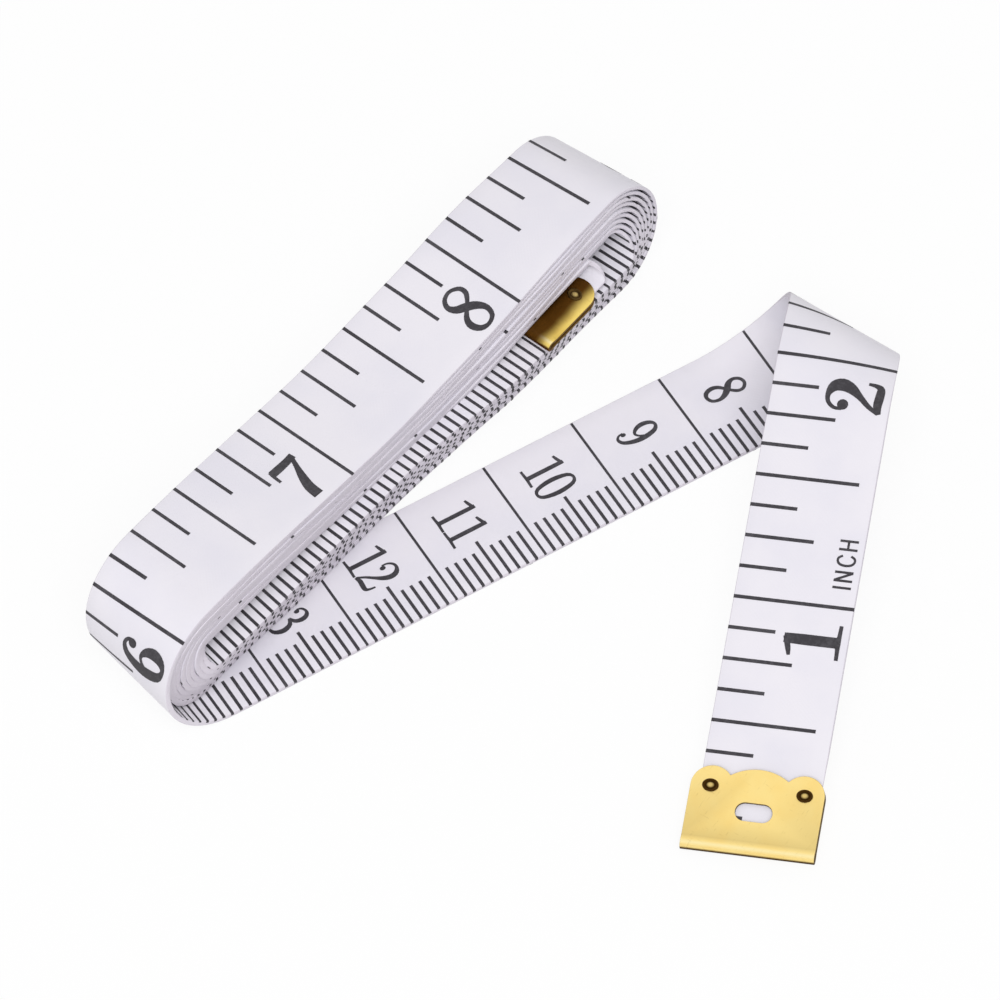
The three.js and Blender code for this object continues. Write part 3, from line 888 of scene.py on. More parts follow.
@dataclass
class ClothTape:
    """The cloth, as three pieces that follow one another along the tape."""

    form: TapeForm
    finish: ClothFinish = field(default_factory=ClothFinish)
    columns: int = 8
    edge_steps: int = 3
    run_rows: int = 30
    bend_rows: int = 22
    rim_shade: Pair = (0.75, 0.25)
    end_room: float = 0.3

    def ring(self, row: Row) -> list[Spot]:
        """Corners round the cloth at one row.

        Args:
            row: The row.

        Returns:
            Distance along, distance across and depth of each corner.
        """
        thick = self.form.thickness(row.s)
        radius = self.form.rim_round(row.s)
        half = self.form.width / 2.0 - radius
        flat = [half - 2.0 * half * j / self.columns for j in range(self.columns + 1)]
        angles = [math.pi / 2.0 * k / self.edge_steps for k in range(1, self.edge_steps + 1)]
        turn = [(half + radius * math.sin(a), radius * (1.0 - math.cos(a))) for a in angles]
        spots = [(v, 0.0) for v in flat]
        spots += [(-v, d) for v, d in turn] + [(-v, thick - d) for v, d in reversed(turn)]
        spots += [(-v, thick) for v in flat]
        spots += [(v, thick - d) for v, d in turn] + [(v, d) for v, d in reversed(turn)]
        lean = math.tan(row.skew)
        return [(row.s - v * lean, v, d) for v, d in spots]

    def strip(self, name: str, rows: Sequence[Row]) -> bpy.types.Object:
        """Make one closed piece of cloth.

        Args:
            name: The piece's name.
            rows: Its rows, in order along the tape.

        Returns:
            The piece, with its map in millimetres and its rims marked.
        """
        rings = [self.ring(row) for row in rows]
        count = len(rings[0])
        points = [self.form.point(*spot) for ring in rings for spot in ring]
        faces = [tuple(range(count)), tuple(reversed(range((len(rings) - 1) * count, len(rings) * count)))]
        for i in range(len(rings) - 1):
            for j in range(count):
                k = (j + 1) % count
                faces.append((i * count + k, i * count + j, (i + 1) * count + j, (i + 1) * count + k))
        item = Bench.mesh(name, points, faces)
        self._map(item, rings)
        Bench.edit(item, lambda: bpy.ops.mesh.normals_make_consistent(inside=False))
        Bench.soften(item, 50.0)
        self.finish.dress(item)
        return item

    def _map(self, item: bpy.types.Object, rings: Sequence[Sequence[Spot]]) -> None:
        """Write the cloth's map in millimetres, and how dark its rims are: partly their own grey, partly
        painted shade.

        Args:
            item: The piece.
            rings: Its corners, ring by ring.
        """
        count = len(rings[0])
        girth = [0.0]
        for (_, v0, d0), (_, v1, d1) in zip(rings[len(rings) // 2], rings[len(rings) // 2][1:]):
            girth.append(girth[-1] + math.hypot(v1 - v0, d1 - d0))
        spots = [(spot[0], girth[j]) for ring in rings for j, spot in enumerate(ring)]
        layer = item.data.uv_layers.new(name="tape_map")
        flat: list[float] = []
        for loop in item.data.loops:
            flat.extend(spots[loop.vertex_index])
        layer.data.foreach_set("uv", flat)
        first, side = self.columns + 1, 2 * self.edge_steps
        on_rim = [first <= j < first + side or j >= 2 * first + side for j in range(count)]
        shades = []
        for ring in rings:
            # rims darker where the turns lie close: painted shade between the turns, on top of the rims' own
            # grey
            shade = self.rim_shade[0] + self.rim_shade[1] * self.form.snug(ring[0][0])
            shades += [shade if rim else 0.0 for rim in on_rim]
        Bench.mark(item, "rim", shades)

    def span(self, start: float, end: float, steps: int, skew: Pair) -> list[Row]:
        """Evenly spaced rows, without the last one.

        Args:
            start: Where the ribbon's middle is crossed by the first row.
            end: The same for the last row.
            steps: The number of rows.
            skew: The lean of the first and of the last row.

        Returns:
            The rows.
        """
        return [
            Row(
                self.form.coil_start - (start + (end - start) * i / steps),
                skew[0] + (skew[1] - skew[0]) * i / steps,
            )
            for i in range(steps)
        ]

    def winding_rows(self) -> list[Row]:
        """Rows of the winding, close together on its bends."""
        form = self.form
        half_lap = ((0.0, form.run_share, self.run_rows), (form.run_share, form.end_share, self.bend_rows))
        turns = [
            half / 2.0 + start + reach * i / rows
            for half in range(2 * form.full_turns + 2)
            for start, reach, rows in half_lap
            for i in range(rows)
        ]
        lengths = [
            form.table_length[min(int(t / form.last_turn * form.table_steps + 0.5), form.table_steps)]
            for t in turns
            if t < form.last_turn
        ]
        low = form.coil_start + form.seam + self.end_room
        end = form.length - form.clip_inset
        return [Row(s) for s in lengths if low < s < end - self.end_room] + [Row(end)]

    def build(self) -> dict[Stretch, bpy.types.Object]:
        """Make the three pieces.

        Returns:
            The pieces by stretch.
        """
        form = self.form
        lead = form.fold_start - form.fold_lead
        tail, fold = form.tail_skew, form.fold_skew
        coil = self.span(lead, form.loop_end, 26, (fold, tail))
        coil += self.span(form.loop_end, 0.0, 40, (tail, tail))
        coil += self.span(0.0, -form.seam, 4, (tail, 0.0))
        coil += [Row(form.coil_start + form.seam), *self.winding_rows()]
        over = self.span(lead, form.fold_start, 2, (fold, fold))
        over += self.span(form.fold_start, form.fold_crown, 12, (fold, fold))
        over += self.span(form.fold_crown, form.fold_top, 40, (fold, fold))
        over += [Row(form.coil_start - form.fold_top, fold)]
        end = self.span(form.fold_top, form.fold_end, 14, (fold, fold))
        end += self.span(form.fold_end, form.coil_start - form.clip_inset, 30, (fold, 0.0))
        end += [Row(form.clip_inset)]
        return {
            Stretch.COIL: self.strip("tape_coil_cloth", coil),
            Stretch.FOLD: self.strip("tape_fold_cloth", over),
            Stretch.FREE_END: self.strip("tape_end_cloth", end),
        }


class Lettering:
    """Numerals with serifs and plain capitals, as pen strokes in a box of height one.

    A stroke is a list of places with the pen's breadth. A dot is a place with a radius.
    """

    strokes: dict[str, list[list[Pen]]] = {
        "0": [[
            (.33, .975, .07), (.16, .87, .15), (.09, .5, .2), (.16, .13, .15), (.33, .025, .07),
            (.50, .13, .15), (.57, .5, .2), (.50, .87, .15), (.33, .975, .07),
        ]],
        "1": [
            [(.36, .02, .19), (.36, .34, .19), (.36, .66, .19), (.36, .985, .17)],
            [(.05, .86, .05), (.20, .895, .09), (.40, .955, .09)],
            [(.04, .03, .06), (.24, .037, .07), (.36, .05, .1), (.48, .037, .07), (.68, .03, .06)],
        ],
        "2": [
            [
                (.09, .70, .05), (.10, .84, .06), (.20, .95, .07), (.34, .97, .09), (.49, .89, .19),
                (.54, .745, .23), (.48, .58, .19), (.34, .41, .11), (.18, .24, .08), (.06, .06, .06),
            ],
            [
                (.05, .04, .07), (.20, .085, .14), (.38, .075, .15), (.54, .075, .13), (.60, .16, .08),
                (.62, .30, .05),
            ],
        ],
        "3": [
            [
                (.10, .80, .05), (.14, .91, .06), (.28, .97, .07), (.42, .91, .16), (.47, .77, .2),
                (.41, .62, .14), (.25, .545, .06),
            ],
            [
                (.25, .545, .06), (.44, .48, .15), (.53, .29, .22), (.46, .10, .16), (.30, .03, .07),
                (.15, .07, .06), (.10, .19, .05),
            ],
        ],
        "4": [
            [(.43, .97, .06), (.24, .62, .065), (.05, .31, .07)],
            [(.03, .28, .075), (.25, .28, .075), (.45, .28, .075), (.66, .28, .075)],
            [(.46, .98, .18), (.46, .66, .19), (.46, .34, .19), (.46, .02, .19)],
            [(.24, .03, .055), (.46, .035, .08), (.66, .03, .055)],
        ],
        "5": [
            [(.12, .96, .05), (.11, .74, .05), (.10, .51, .05)],
            [(.11, .92, .13), (.28, .90, .14), (.46, .92, .12), (.57, .97, .05)],
            [
                (.10, .51, .05), (.22, .60, .06), (.38, .59, .13), (.52, .45, .2), (.54, .29, .22),
                (.45, .09, .15), (.28, .03, .07), (.14, .07, .06), (.09, .19, .05),
            ],
        ],
        "6": [[
            (.55, .79, .05), (.52, .91, .06), (.40, .97, .08), (.24, .89, .14), (.13, .66, .2),
            (.11, .40, .22), (.18, .13, .17), (.34, .03, .08), (.48, .11, .15), (.54, .29, .2),
            (.49, .46, .15), (.36, .56, .07), (.24, .51, .06), (.17, .40, .06),
        ]],
        "7": [
            [(.06, .90, .15), (.24, .895, .15), (.44, .895, .14), (.63, .91, .13)],
            [(.07, .96, .06), (.05, .84, .06), (.04, .68, .05)],
            [(.60, .93, .07), (.50, .72, .09), (.38, .47, .15), (.30, .25, .19), (.28, .03, .2)],
        ],
        "8": [[
            (.58, .87, .085), (.475, .96, .07), (.36, .98, .065), (.22, .925, .075), (.145, .79, .10),
            (.205, .65, .145), (.36, .55, .165), (.50, .43, .15), (.575, .26, .105), (.51, .09, .08),
            (.34, .025, .07), (.185, .08, .11), (.12, .23, .13), (.17, .38, .10), (.31, .50, .07),
            (.46, .61, .07), (.58, .74, .09), (.58, .87, .085),
        ]],
        "I": [[(.10, 0, .14), (.10, .5, .14), (.10, 1, .14)]],
        "N": [
            [(.08, 0, .14), (.08, 1, .14)], [(.09, .97, .14), (.55, .03, .14)],
            [(.56, 0, .14), (.56, 1, .14)],
        ],
        "C": [[
            (.64, .72, .13), (.52, .92, .13), (.34, .96, .13), (.15, .82, .14), (.08, .5, .14),
            (.15, .18, .14), (.34, .04, .13), (.52, .08, .13), (.64, .28, .13),
        ]],
        "H": [
            [(.08, 0, .14), (.08, 1, .14)], [(.08, .52, .13), (.56, .52, .13)],
            [(.56, 0, .14), (.56, 1, .14)],
        ],
    }
    dots: dict[str, list[Pen]] = {
        "2": [(.17, .69, .095)],
        "3": [(.16, .78, .085), (.16, .2, .085)],
        "5": [(.15, .19, .085)],
        "6": [(.49, .80, .085)],
    }
    breadth: dict[str, float] = {"I": .20, "N": .64, "C": .70, "H": .64}

    @classmethod
    def drawn(cls, sign: str) -> tuple[list[list[Pen]], list[Pen]]:
        """The strokes and dots of one sign; a nine is a six turned half round."""
        if sign != "9":
            return cls.strokes[sign], cls.dots.get(sign, [])
        turned = [[(.66 - x, 1.0 - y, w) for x, y, w in line] for line in cls.strokes["6"]]
        return turned, [(.66 - x, 1.0 - y, r) for x, y, r in cls.dots["6"]]

    @staticmethod
    def curve(line: Sequence[Pen], steps: int) -> list[Pen]:
        """Draw a smooth line through the places of a stroke.

        Args:
            line: The stroke.
            steps: Steps between two places.

        Returns:
            The finer stroke.
        """
        closed = line[0] == line[-1]
        before = line[-2] if closed else line[0]
        after = line[1] if closed else line[-1]
        knots = [before, *line, after]
        made: list[Pen] = []
        for a, b, c, d in zip(knots, knots[1:], knots[2:], knots[3:]):
            for i in range(steps):
                t = i / steps
                made.append(tuple(
                    0.5 * (2 * b[k] + (c[k] - a[k]) * t + (2 * a[k] - 5 * b[k] + 4 * c[k] - d[k]) * t * t
                           + (3 * b[k] - a[k] - 3 * c[k] + d[k]) * t ** 3)
                    for k in range(3)
                ))
        return [*made, tuple(line[-1])]


class InkLayer:
    """The printed marks on one stretch of tape."""

    def __init__(self, form: TapeForm) -> None:
        """Begin with no marks."""
        self.form = form
        self.points: list[Vector] = []
        self.faces: list[tuple[int, ...]] = []

    def ladder(self, left: Sequence[Spot], right: Sequence[Spot], columns: int = 1) -> None:
        """Fill the space between two lines of spots.

        Args:
            left: Spots as distance along, distance across and depth.
            right: The same on the other side.
            columns: How many faces there are from side to side, so that broad strokes follow the cloth.
        """
        base = len(self.points)
        for one, two in zip(left, right):
            for k in range(columns + 1):
                share = k / columns
                self.points.append(self.form.point(*(a + (b - a) * share for a, b in zip(one, two))))
        wide = columns + 1
        for i in range(len(left) - 1):
            for k in range(columns):
                a = base + wide * i + k
                self.faces.append((a, a + 1, a + wide + 1, a + wide))

    def patch(self, middle: Spot, spots: Sequence[Spot]) -> None:
        """Fill one outline of spots round a middle."""
        base = len(self.points)
        self.points += [self.form.point(*spot) for spot in (middle, *spots)]
        count = len(spots)
        self.faces += [(base, base + 1 + k, base + 1 + (k + 1) % count) for k in range(count)]

    def build(self, name: str, finish: InkFinish) -> bpy.types.Object:
        """Make the piece, with a name and a finish."""
        item = Bench.mesh(name, self.points, self.faces)
        finish.dress(item)
        return item


@dataclass
class PrintedScales:
    """An inch scale on the outer face and a centimetre scale on the inner one, both from the zero end."""

    form: TapeForm
    finish: InkFinish = field(default_factory=InkFinish)
    inch: float = 25.4
    inch_pen: float = 0.37
    inch_reach: dict[int, float] = field(
        default_factory=lambda: {8: 1.0, 4: 0.863, 2: 0.575, 1: 0.393}
    )
    inch_rim: Pair = (0.13, 0.05)
    inch_size: float = 5.55
    inch_weight: Pair = (1.02, 0.006)
    inch_narrow: float = 0.8
    digit_step: Pair = (0.66, 0.5)
    inch_place: Pair = (3.7, -2.35)
    line_pen: float = 0.27
    bar_step: float = 1.2
    tick_pen: float = 0.33
    tick_reach: Pair = (0.31, 0.40)
    centimetre_size: float = 4.35
    centimetre_place: Pair = (4.9, 1.4)
    centimetre_narrow: float = 0.76
    centimetre_weight: Pair = (0.62, 0.025)
    centimetre_bold: dict[str, float] = field(default_factory=lambda: {"8": 0.9})
    layer_step: float = 0.002
    unit: str = "INCH"
    word_place: Pair = (30.0, -4.3)
    word_size: float = 1.8
    word_breadth: float = 3.02
    word_gap: float = 0.22
    sign_middle: Pair = (0.34, 0.5)
    past_rim: float = 0.01
    rim_ink: Pair = (0.36, 0.26)
    worn: frozenset[int] = frozenset({70})

    def __post_init__(self) -> None:
        """Begin with an empty layer for each stretch."""
        self.layers = {stretch: InkLayer(self.form) for stretch in Stretch}

    def bar(self, s: float, pen: float, start: float, end: float, face: Face, over: float) -> None:
        """Print a line across the tape.

        Args:
            s: Its distance from the zero end.
            pen: Its breadth.
            start: Its first end, as a distance across.
            end: Its second end, which lies further from the inch edge.
            face: The face it is on.
            over: How far it runs over a rim that it reaches.
        """
        form = self.form
        radius = form.rim_round(s)
        half = form.width / 2.0 - radius
        depth = form.depth_of(face, s)
        low, high = max(end, -half), min(start, half)
        steps = max(1, round((high - low) / self.bar_step))
        spots = [(high - (high - low) * i / steps, depth) for i in range(steps + 1)]
        sign = 1.0 if face is Face.INCH else -1.0
        round_rim = radius + form.ink
        turn = []
        for k in range(1, 5):
            angle = min(over * k / 4.0 / round_rim, math.pi / 2.0)
            down = round_rim * (1.0 - math.cos(angle)) + over * k / 4.0 - round_rim * angle
            turn.append((half + round_rim * math.sin(angle), depth + sign * down))
        if over and end < -half:
            spots = spots + [(-v, d) for v, d in turn]
        if over and start > half and face is Face.INCH:
            spots = list(reversed(turn)) + spots
        layer = self.layers[form.stretch_of(s, (high + low) / 2.0)]
        sides = [[(s + k * pen / 2.0, v, d) for v, d in spots] for k in (-1.0, 1.0)]
        layer.ladder(sides[0], sides[1])

    def upright(self, along: float, across: float, size: float, narrow: float = 1.0) -> Placer:
        """Places of a sign that reads towards larger numbers, with the inch edge up."""
        x0, y0 = self.sign_middle
        return lambda x, y: (along + (x - x0) * size * narrow, across + (y - y0) * size)

    def lying(self, along: float, across: float, size: float, narrow: float) -> Placer:
        """Places of a sign that reads from the inch edge, with the zero end up."""
        x0, y0 = self.sign_middle
        return lambda x, y: (along - (y - y0) * size, across - (x - x0) * size * narrow)

    def sign(self, text: str, place: Placer, face: Face, weight: Pair) -> None:
        """Print one sign.

        Args:
            text: The sign.
            place: Turns a place in the sign's box into distances along and across.
            face: The face it is on.
            weight: A factor and a sum that turn the drawn breadth of the pen into the printed one.
        """
        form = self.form
        out = -self.layer_step if face is Face.INCH else self.layer_step

        def spot(x: float, y: float, layers: float) -> Spot:
            """The spot for a place in the sign's box, some layers of ink up."""
            s, v = place(x, y)
            return s, v, form.depth_of(face, s) + out * layers

        lines, dots = Lettering.drawn(text)
        s0, v0 = place(0.33, 0.5)
        layer = self.layers[form.stretch_of(s0, v0)]
        for number, line in enumerate(lines):
            fine = Lettering.curve(line, 3)
            left, right = [], []
            for i, (x, y, w) in enumerate(fine):
                x0, y0, _ = fine[max(i - 1, 0)]
                x1, y1, _ = fine[min(i + 1, len(fine) - 1)]
                if line[0] == line[-1] and i in (0, len(fine) - 1):
                    x0, y0, _ = fine[-2]
                    x1, y1, _ = fine[1]
                size = math.hypot(x1 - x0, y1 - y0) or 1.0
                half = (weight[0] * w + weight[1]) / 2.0
                nx, ny = -(y1 - y0) / size * half, (x1 - x0) / size * half
                layers = number + i / len(fine)
                left.append(spot(x + nx, y + ny, layers))
                right.append(spot(x - nx, y - ny, layers))
            layer.ladder(left, right, 4)
        for x, y, r in dots:
            grow = (weight[0] * 2.0 * r + weight[1]) / 2.0
            ring = [2.0 * math.pi * k / 12 for k in range(12)]
            top = len(lines)
            layer.patch(
                spot(x, y, top), [spot(x + grow * math.cos(a), y + grow * math.sin(a), top) for a in ring]
            )

    def inches(self) -> None:
        """Print the inch scale."""
        form = self.form
        half = form.width / 2.0
        for eighth in range(1, int(8 * form.scale_end / self.inch) + 1):
            if eighth in self.worn:
                continue
            s = eighth * self.inch / 8.0
            step = max(k for k in self.inch_reach if eighth % k == 0)
            end = half - form.width * self.inch_reach[step]
            over = self.inch_rim[0] if eighth * 7 % 5 else self.inch_rim[1]
            end -= self.past_rim if step == 8 else 0.0
            self.bar(s, self.inch_pen, half, end, Face.INCH, over)
        for number in range(1, int(form.scale_end / self.inch) + 1):
            digits = str(number)
            narrow = 1.0 if len(digits) == 1 else self.inch_narrow
            step = self.digit_step[0] * self.inch_size * narrow
            middle = number * self.inch - self.inch_place[0] - 0.32 * step * (len(digits) - 1)
            for i, digit in enumerate(digits):
                centre = middle + (i - (len(digits) - 1) / 2.0) * step
                place = self.upright(centre, self.inch_place[1], self.inch_size, narrow)
                self.sign(digit, place, Face.INCH, self.inch_weight)

    def word(self) -> None:
        """Print the unit's name by the inch scale."""
        start = self.word_place[0] - self.word_breadth * self.word_size / 2.0
        for letter in self.unit:
            centre = start + self.sign_middle[0] * self.word_size
            place = self.upright(centre, self.word_place[1], self.word_size)
            self.sign(letter, place, Face.INCH, (1.0, 0.0))
            start += (Lettering.breadth[letter] + self.word_gap) * self.word_size

    def centimetres(self) -> None:
        """Print the centimetre scale."""
        form = self.form
        half = form.width / 2.0 + self.past_rim
        for mark in range(1, int(form.scale_end) + 1):
            s = float(mark)
            chance = math.sin(12.9898 * mark) * 43758.5453 % 1.0
            over = (self.rim_ink[0] + self.rim_ink[1] * chance) * form.rim_cover(s)
            if mark % 10 == 0:
                self.bar(s, self.line_pen, half, -half, Face.CENTIMETRE, over)
                continue
            share = self.tick_reach[1] if mark % 5 == 0 else self.tick_reach[0]
            start = (share - 0.5) * form.width
            self.bar(s, self.tick_pen, start, -half, Face.CENTIMETRE, over)
        factor, extra = self.centimetre_weight
        for number in range(1, int(form.scale_end / 10.0) + 1):
            digits = str(number)
            step = self.digit_step[1] * self.centimetre_size
            along = 10.0 * number - self.centimetre_place[0]
            for i, digit in enumerate(digits):
                across = self.centimetre_place[1] - (i - (len(digits) - 1) / 2.0) * step
                place = self.lying(along, across, self.centimetre_size, self.centimetre_narrow)
                weight = (self.centimetre_bold.get(digit, factor), extra)
                self.sign(digit, place, Face.CENTIMETRE, weight)

    def build(self) -> dict[Stretch, bpy.types.Object]:
        """Print both scales.

        Returns:
            The ink on each stretch of tape.
        """
        self.inches()
        self.word()
        self.centimetres()
        return {
            stretch: layer.build(f"tape_{stretch.value}_print", self.finish)
            for stretch, layer in self.layers.items()
        }


@dataclass
class TapeMotion:
    """How the tape's stretches follow the coil and the free end.

    The fold, a turn of about 190 degrees, stays where it is made; its pieces are not bent.
    """

    form: TapeForm
    still: float = 6.38
    moving: float = 7.38

    def attach(self, item: bpy.types.Object, stretch: Stretch) -> None:
        """Let a piece of cloth or ink move with the coil or the free end; a piece on the fold stays in
        place.

        Args:
            item: The piece.
            stretch: The stretch that it is on.
        """
        if stretch is Stretch.FOLD:
            crest = self.form.point(self.form.fold_place, 0.0, 0.0)
            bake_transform(item)
        else:
            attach(item, stretch.value)


@dataclass
class EndClip:
    """A folded brass clip with a beaded fold and a scalloped edge, and its two rivets."""

    end: str
    body: str
    place: Vector
    across: Vector
    inside: Vector
    width: float = 12.95
    sheet: float = 0.3
    jaw: float = 0.48
    bead: float = 0.6
    taper: float = 0.8
    ear_radius: float = 2.05
    ear_height: float = 8.5
    hump_height: float = 8.6
    hump_radius: float = 4.9
    slot_length: float = 3.6
    slot_width: float = 1.85
    slot_height: float = 4.25
    rivet_height: float = 6.5
    rivet_spacing: float = 9.1
    head_radius: float = 0.8
    rivet_seat: float = 0.5
    rivet_squash: float = 0.8
    # how dark the painted shade on the rivets' rings is
    ring_dull: float = 1.0
    rivet_steps: int = 40
    rivet_rings: tuple[Pair, ...] = (
        (0.05, 0.05), (0.08, 0.035), (0.08, -0.02), (0.07, -0.09),
        (0.06, -0.03), (0.07, 0.04), (0.12, 0.06), (0.12, 0.025),
    )
    cut_room: float = 0.3
    bevel: float = 0.07
    steps: int = 20
    finish: BrassFinish = field(default_factory=BrassFinish)

    def rise(self, y: float) -> float:
        """Half the clip's thickness at a height."""
        return self.jaw + (self.bead - self.jaw) * (1.0 - ease((y - self.bead) / self.taper))

    def side_profile(self) -> list[Pair]:
        """The folded sheet seen along its fold, as places along and through the clip."""
        heights = [self.hump_height + self.cut_room]
        heights += [self.bead + self.taper * i / 8.0 for i in range(8, -1, -1)]

        def path(inset: float) -> list[Pair]:
            """One face of the sheet, from one mouth round the fold to the other."""
            upper = [(y, self.rise(y) - inset) for y in heights]
            radius = self.bead - inset
            turns = [math.pi * i / self.steps for i in range(1, self.steps)]
            fold = [(self.bead - radius * math.sin(a), radius * math.cos(a)) for a in turns]
            return upper + fold + [(y, -z) for y, z in reversed(upper)]

        return path(0.0) + path(self.sheet)[::-1]

    def arc(self, centre: Pair, radius: float, start: float, end: float) -> list[Pair]:
        """Corners along an arc, from one angle to another."""
        angles = [start + (end - start) * i / self.steps for i in range(self.steps + 1)]
        return [(centre[0] + radius * math.cos(a), centre[1] + radius * math.sin(a)) for a in angles]

    def outline(self) -> list[Pair]:
        """The clip's outline: straight sides, two ears and a low hump between them."""
        half = self.width / 2.0
        ear_x, ear_y = half - self.ear_radius, self.ear_height - self.ear_radius
        hump_y = self.hump_height - self.hump_radius
        gap = math.hypot(ear_x, ear_y - hump_y)
        bearing = math.atan2(ear_y - hump_y, ear_x)

        def corner(near: float, far: float) -> float:
            """The angle at one centre to the place where the two arcs cross."""
            return math.acos((near ** 2 + gap ** 2 - far ** 2) / (2.0 * near * gap))

        notch = bearing + corner(self.hump_radius, self.ear_radius)
        ear_notch = bearing + math.pi - corner(self.ear_radius, self.hump_radius)
        return [
            (-half, -self.cut_room), (half, -self.cut_room),
            *self.arc((ear_x, ear_y), self.ear_radius, 0.0, ear_notch),
            *self.arc((0.0, hump_y), self.hump_radius, notch, math.pi - notch)[1:-1],
            *self.arc((-ear_x, ear_y), self.ear_radius, math.pi - ear_notch, math.pi),
        ]

    def slot_outline(self) -> list[Pair]:
        """The oblong slot."""
        radius, quarter = self.slot_width / 2.0, math.pi / 2.0
        side = self.slot_length / 2.0 - radius
        right = self.arc((side, self.slot_height), radius, -quarter, quarter)
        return right + self.arc((-side, self.slot_height), radius, quarter, 3.0 * quarter)

    def frame_matrix(self) -> Matrix:
        """From the clip's own millimetres to the part's frame in metres."""
        normal = self.across.cross(self.inside)
        turn = Matrix((self.across, self.inside, normal)).transposed().to_4x4()
        return Matrix.Scale(MM, 4) @ Matrix.Translation(self.place + ORIGIN) @ turn

    def sheet_piece(self) -> bpy.types.Object:
        """Model the folded sheet, in the clip's own millimetres."""
        item = Bench.prism(f"{self.end}_clip_brass", self.side_profile(), self.width)
        turn = Matrix(((0, 0, 1, 0), (1, 0, 0, 0), (0, 1, 0, 0), (0, 0, 0, 1)))
        item.data.transform(turn)
        deep = 4.0 * self.bead
        Bench.cut(item, Bench.prism("clip_outline", self.outline(), deep), "INTERSECT")
        Bench.cut(item, Bench.prism("clip_slot", self.slot_outline(), deep), "DIFFERENCE")
        Bench.edit(
            item,
            lambda: bpy.ops.mesh.remove_doubles(threshold=0.002),
            lambda: bpy.ops.mesh.dissolve_limited(angle_limit=math.radians(0.5)),
        )
        Bench.apply(
            item, "BEVEL", width=self.bevel, segments=2, limit_method="ANGLE",
            angle_limit=math.radians(40.0), use_clamp_overlap=True,
        )
        return item

    def rivet_piece(self, number: int, x: float) -> bpy.types.Object:
        """Model a tubular rivet with a rolled rim and a domed middle on both heads.

        Args:
            number: Its number on the clip.
            x: Its place across the clip.

        Returns:
            The rivet in the clip's own millimetres.
        """
        Bench.clear()
        height = self.rivet_seat + 0.05
        bpy.ops.mesh.primitive_cylinder_add(
            vertices=self.rivet_steps, radius=self.head_radius, depth=2.0 * height
        )
        item = bpy.context.object
        item.name = f"{self.end}_rivet_brass_{number}"
        for side in (1.0, -1.0):
            for face in item.data.polygons:
                face.select = face.normal.z * side > 0.9
            for vertex in item.data.vertices:
                vertex.select = False
            for edge in item.data.edges:
                edge.select = False
            Bench.take(item)
            bpy.ops.object.mode_set(mode="EDIT")
            bpy.ops.mesh.select_mode(type="FACE")
            for thick, rise in self.rivet_rings:
                bpy.ops.mesh.inset(thickness=thick, depth=rise)
            bpy.ops.object.mode_set(mode="OBJECT")
        squash = Matrix.Diagonal((1.0, self.rivet_squash, 1.0, 1.0))
        item.data.transform(Matrix.Translation((x, self.rivet_height, 0.0)) @ squash)
        return item

    def wear(self, item: bpy.types.Object) -> None:
        """Paint shade on the sheet's cut edges, its inside, its crease and the underside of its bead, and a
        highlight along the bead.
        """
        mesh = item.data
        up = math.copysign(1.0, self.across.cross(self.inside).z)
        dull, painted_highlight = [0.0] * len(mesh.loops), [0.0] * len(mesh.loops)
        for face in mesh.polygons:
            # painted shade on the cut edges and their bevels, and inside the fold
            flank = face.center.y > 1.6 or abs(face.normal.x) > 0.3
            edge = 0.9 if abs(face.normal.z) < 0.5 else 0.5 if abs(face.normal.z) < 0.95 else 0.0
            inner = face.normal.z * face.center.z < 0.0 and abs(face.center.z) < self.bead - 0.9 * self.sheet
            for corner in face.loop_indices:
                _, y, z = mesh.vertices[mesh.loops[corner].vertex_index].co
                # painted dark reflection and shade on the underside of the bead
                under = ease((0.36 - z * up) / 0.16) if y < 0.5 else 0.0
                # painted shade in the crease above the bead
                crease = 0.24 * (1.0 - min(1.0, abs(y - self.bead - 0.9 * self.taper) / 0.5))
                dull[corner] = max(under, crease, edge if flank else 0.0, 0.9 if inner else 0.0)
                # painted highlight along the middle of the bead
                painted_highlight[corner] = 1.0 - min(1.0, abs(y - 0.55) / 0.3)
        Bench.mark(item, "dull", dull, "CORNER")
        Bench.mark(item, "painted_highlight", painted_highlight, "CORNER")

    def rivet_wear(self, item: bpy.types.Object, x: float) -> None:
        """Paint shade on a rivet's ring, and less of it on its middle."""
        dull = []
        for vertex in item.data.vertices:
            y = (vertex.co.y - self.rivet_height) / self.rivet_squash
            reach = math.hypot(vertex.co.x - x, y)
            # painted shade in the ring round the rivet's middle
            dull.append(max(0.3, self.ring_dull * ease((reach - 0.18) / 0.16)))
        Bench.mark(item, "dull", dull)

    def build(self) -> list[bpy.types.Object]:
        """Make the clip and its rivets and let them move with their body.

        Returns:
            The three pieces.
        """
        clip = self.sheet_piece()
        self.wear(clip)
        made = [(clip, f"{self.end}_end_clip")]
        for number, side in ((1, -1.0), (2, 1.0)):
            x = side * self.rivet_spacing / 2.0
            rivet = self.rivet_piece(number, x)
            self.rivet_wear(rivet, x)
            made.append((rivet, f"{self.end}_clip_rivet_{number}"))
        for item, node in made:
            finish = self.finish if item is clip else BrassFinish()
            item.data.transform(self.frame_matrix())
            Bench.soften(item, 38.0)
            finish.dress(item)
            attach(item, self.body)
            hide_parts(node)
        return [item for item, _ in made]


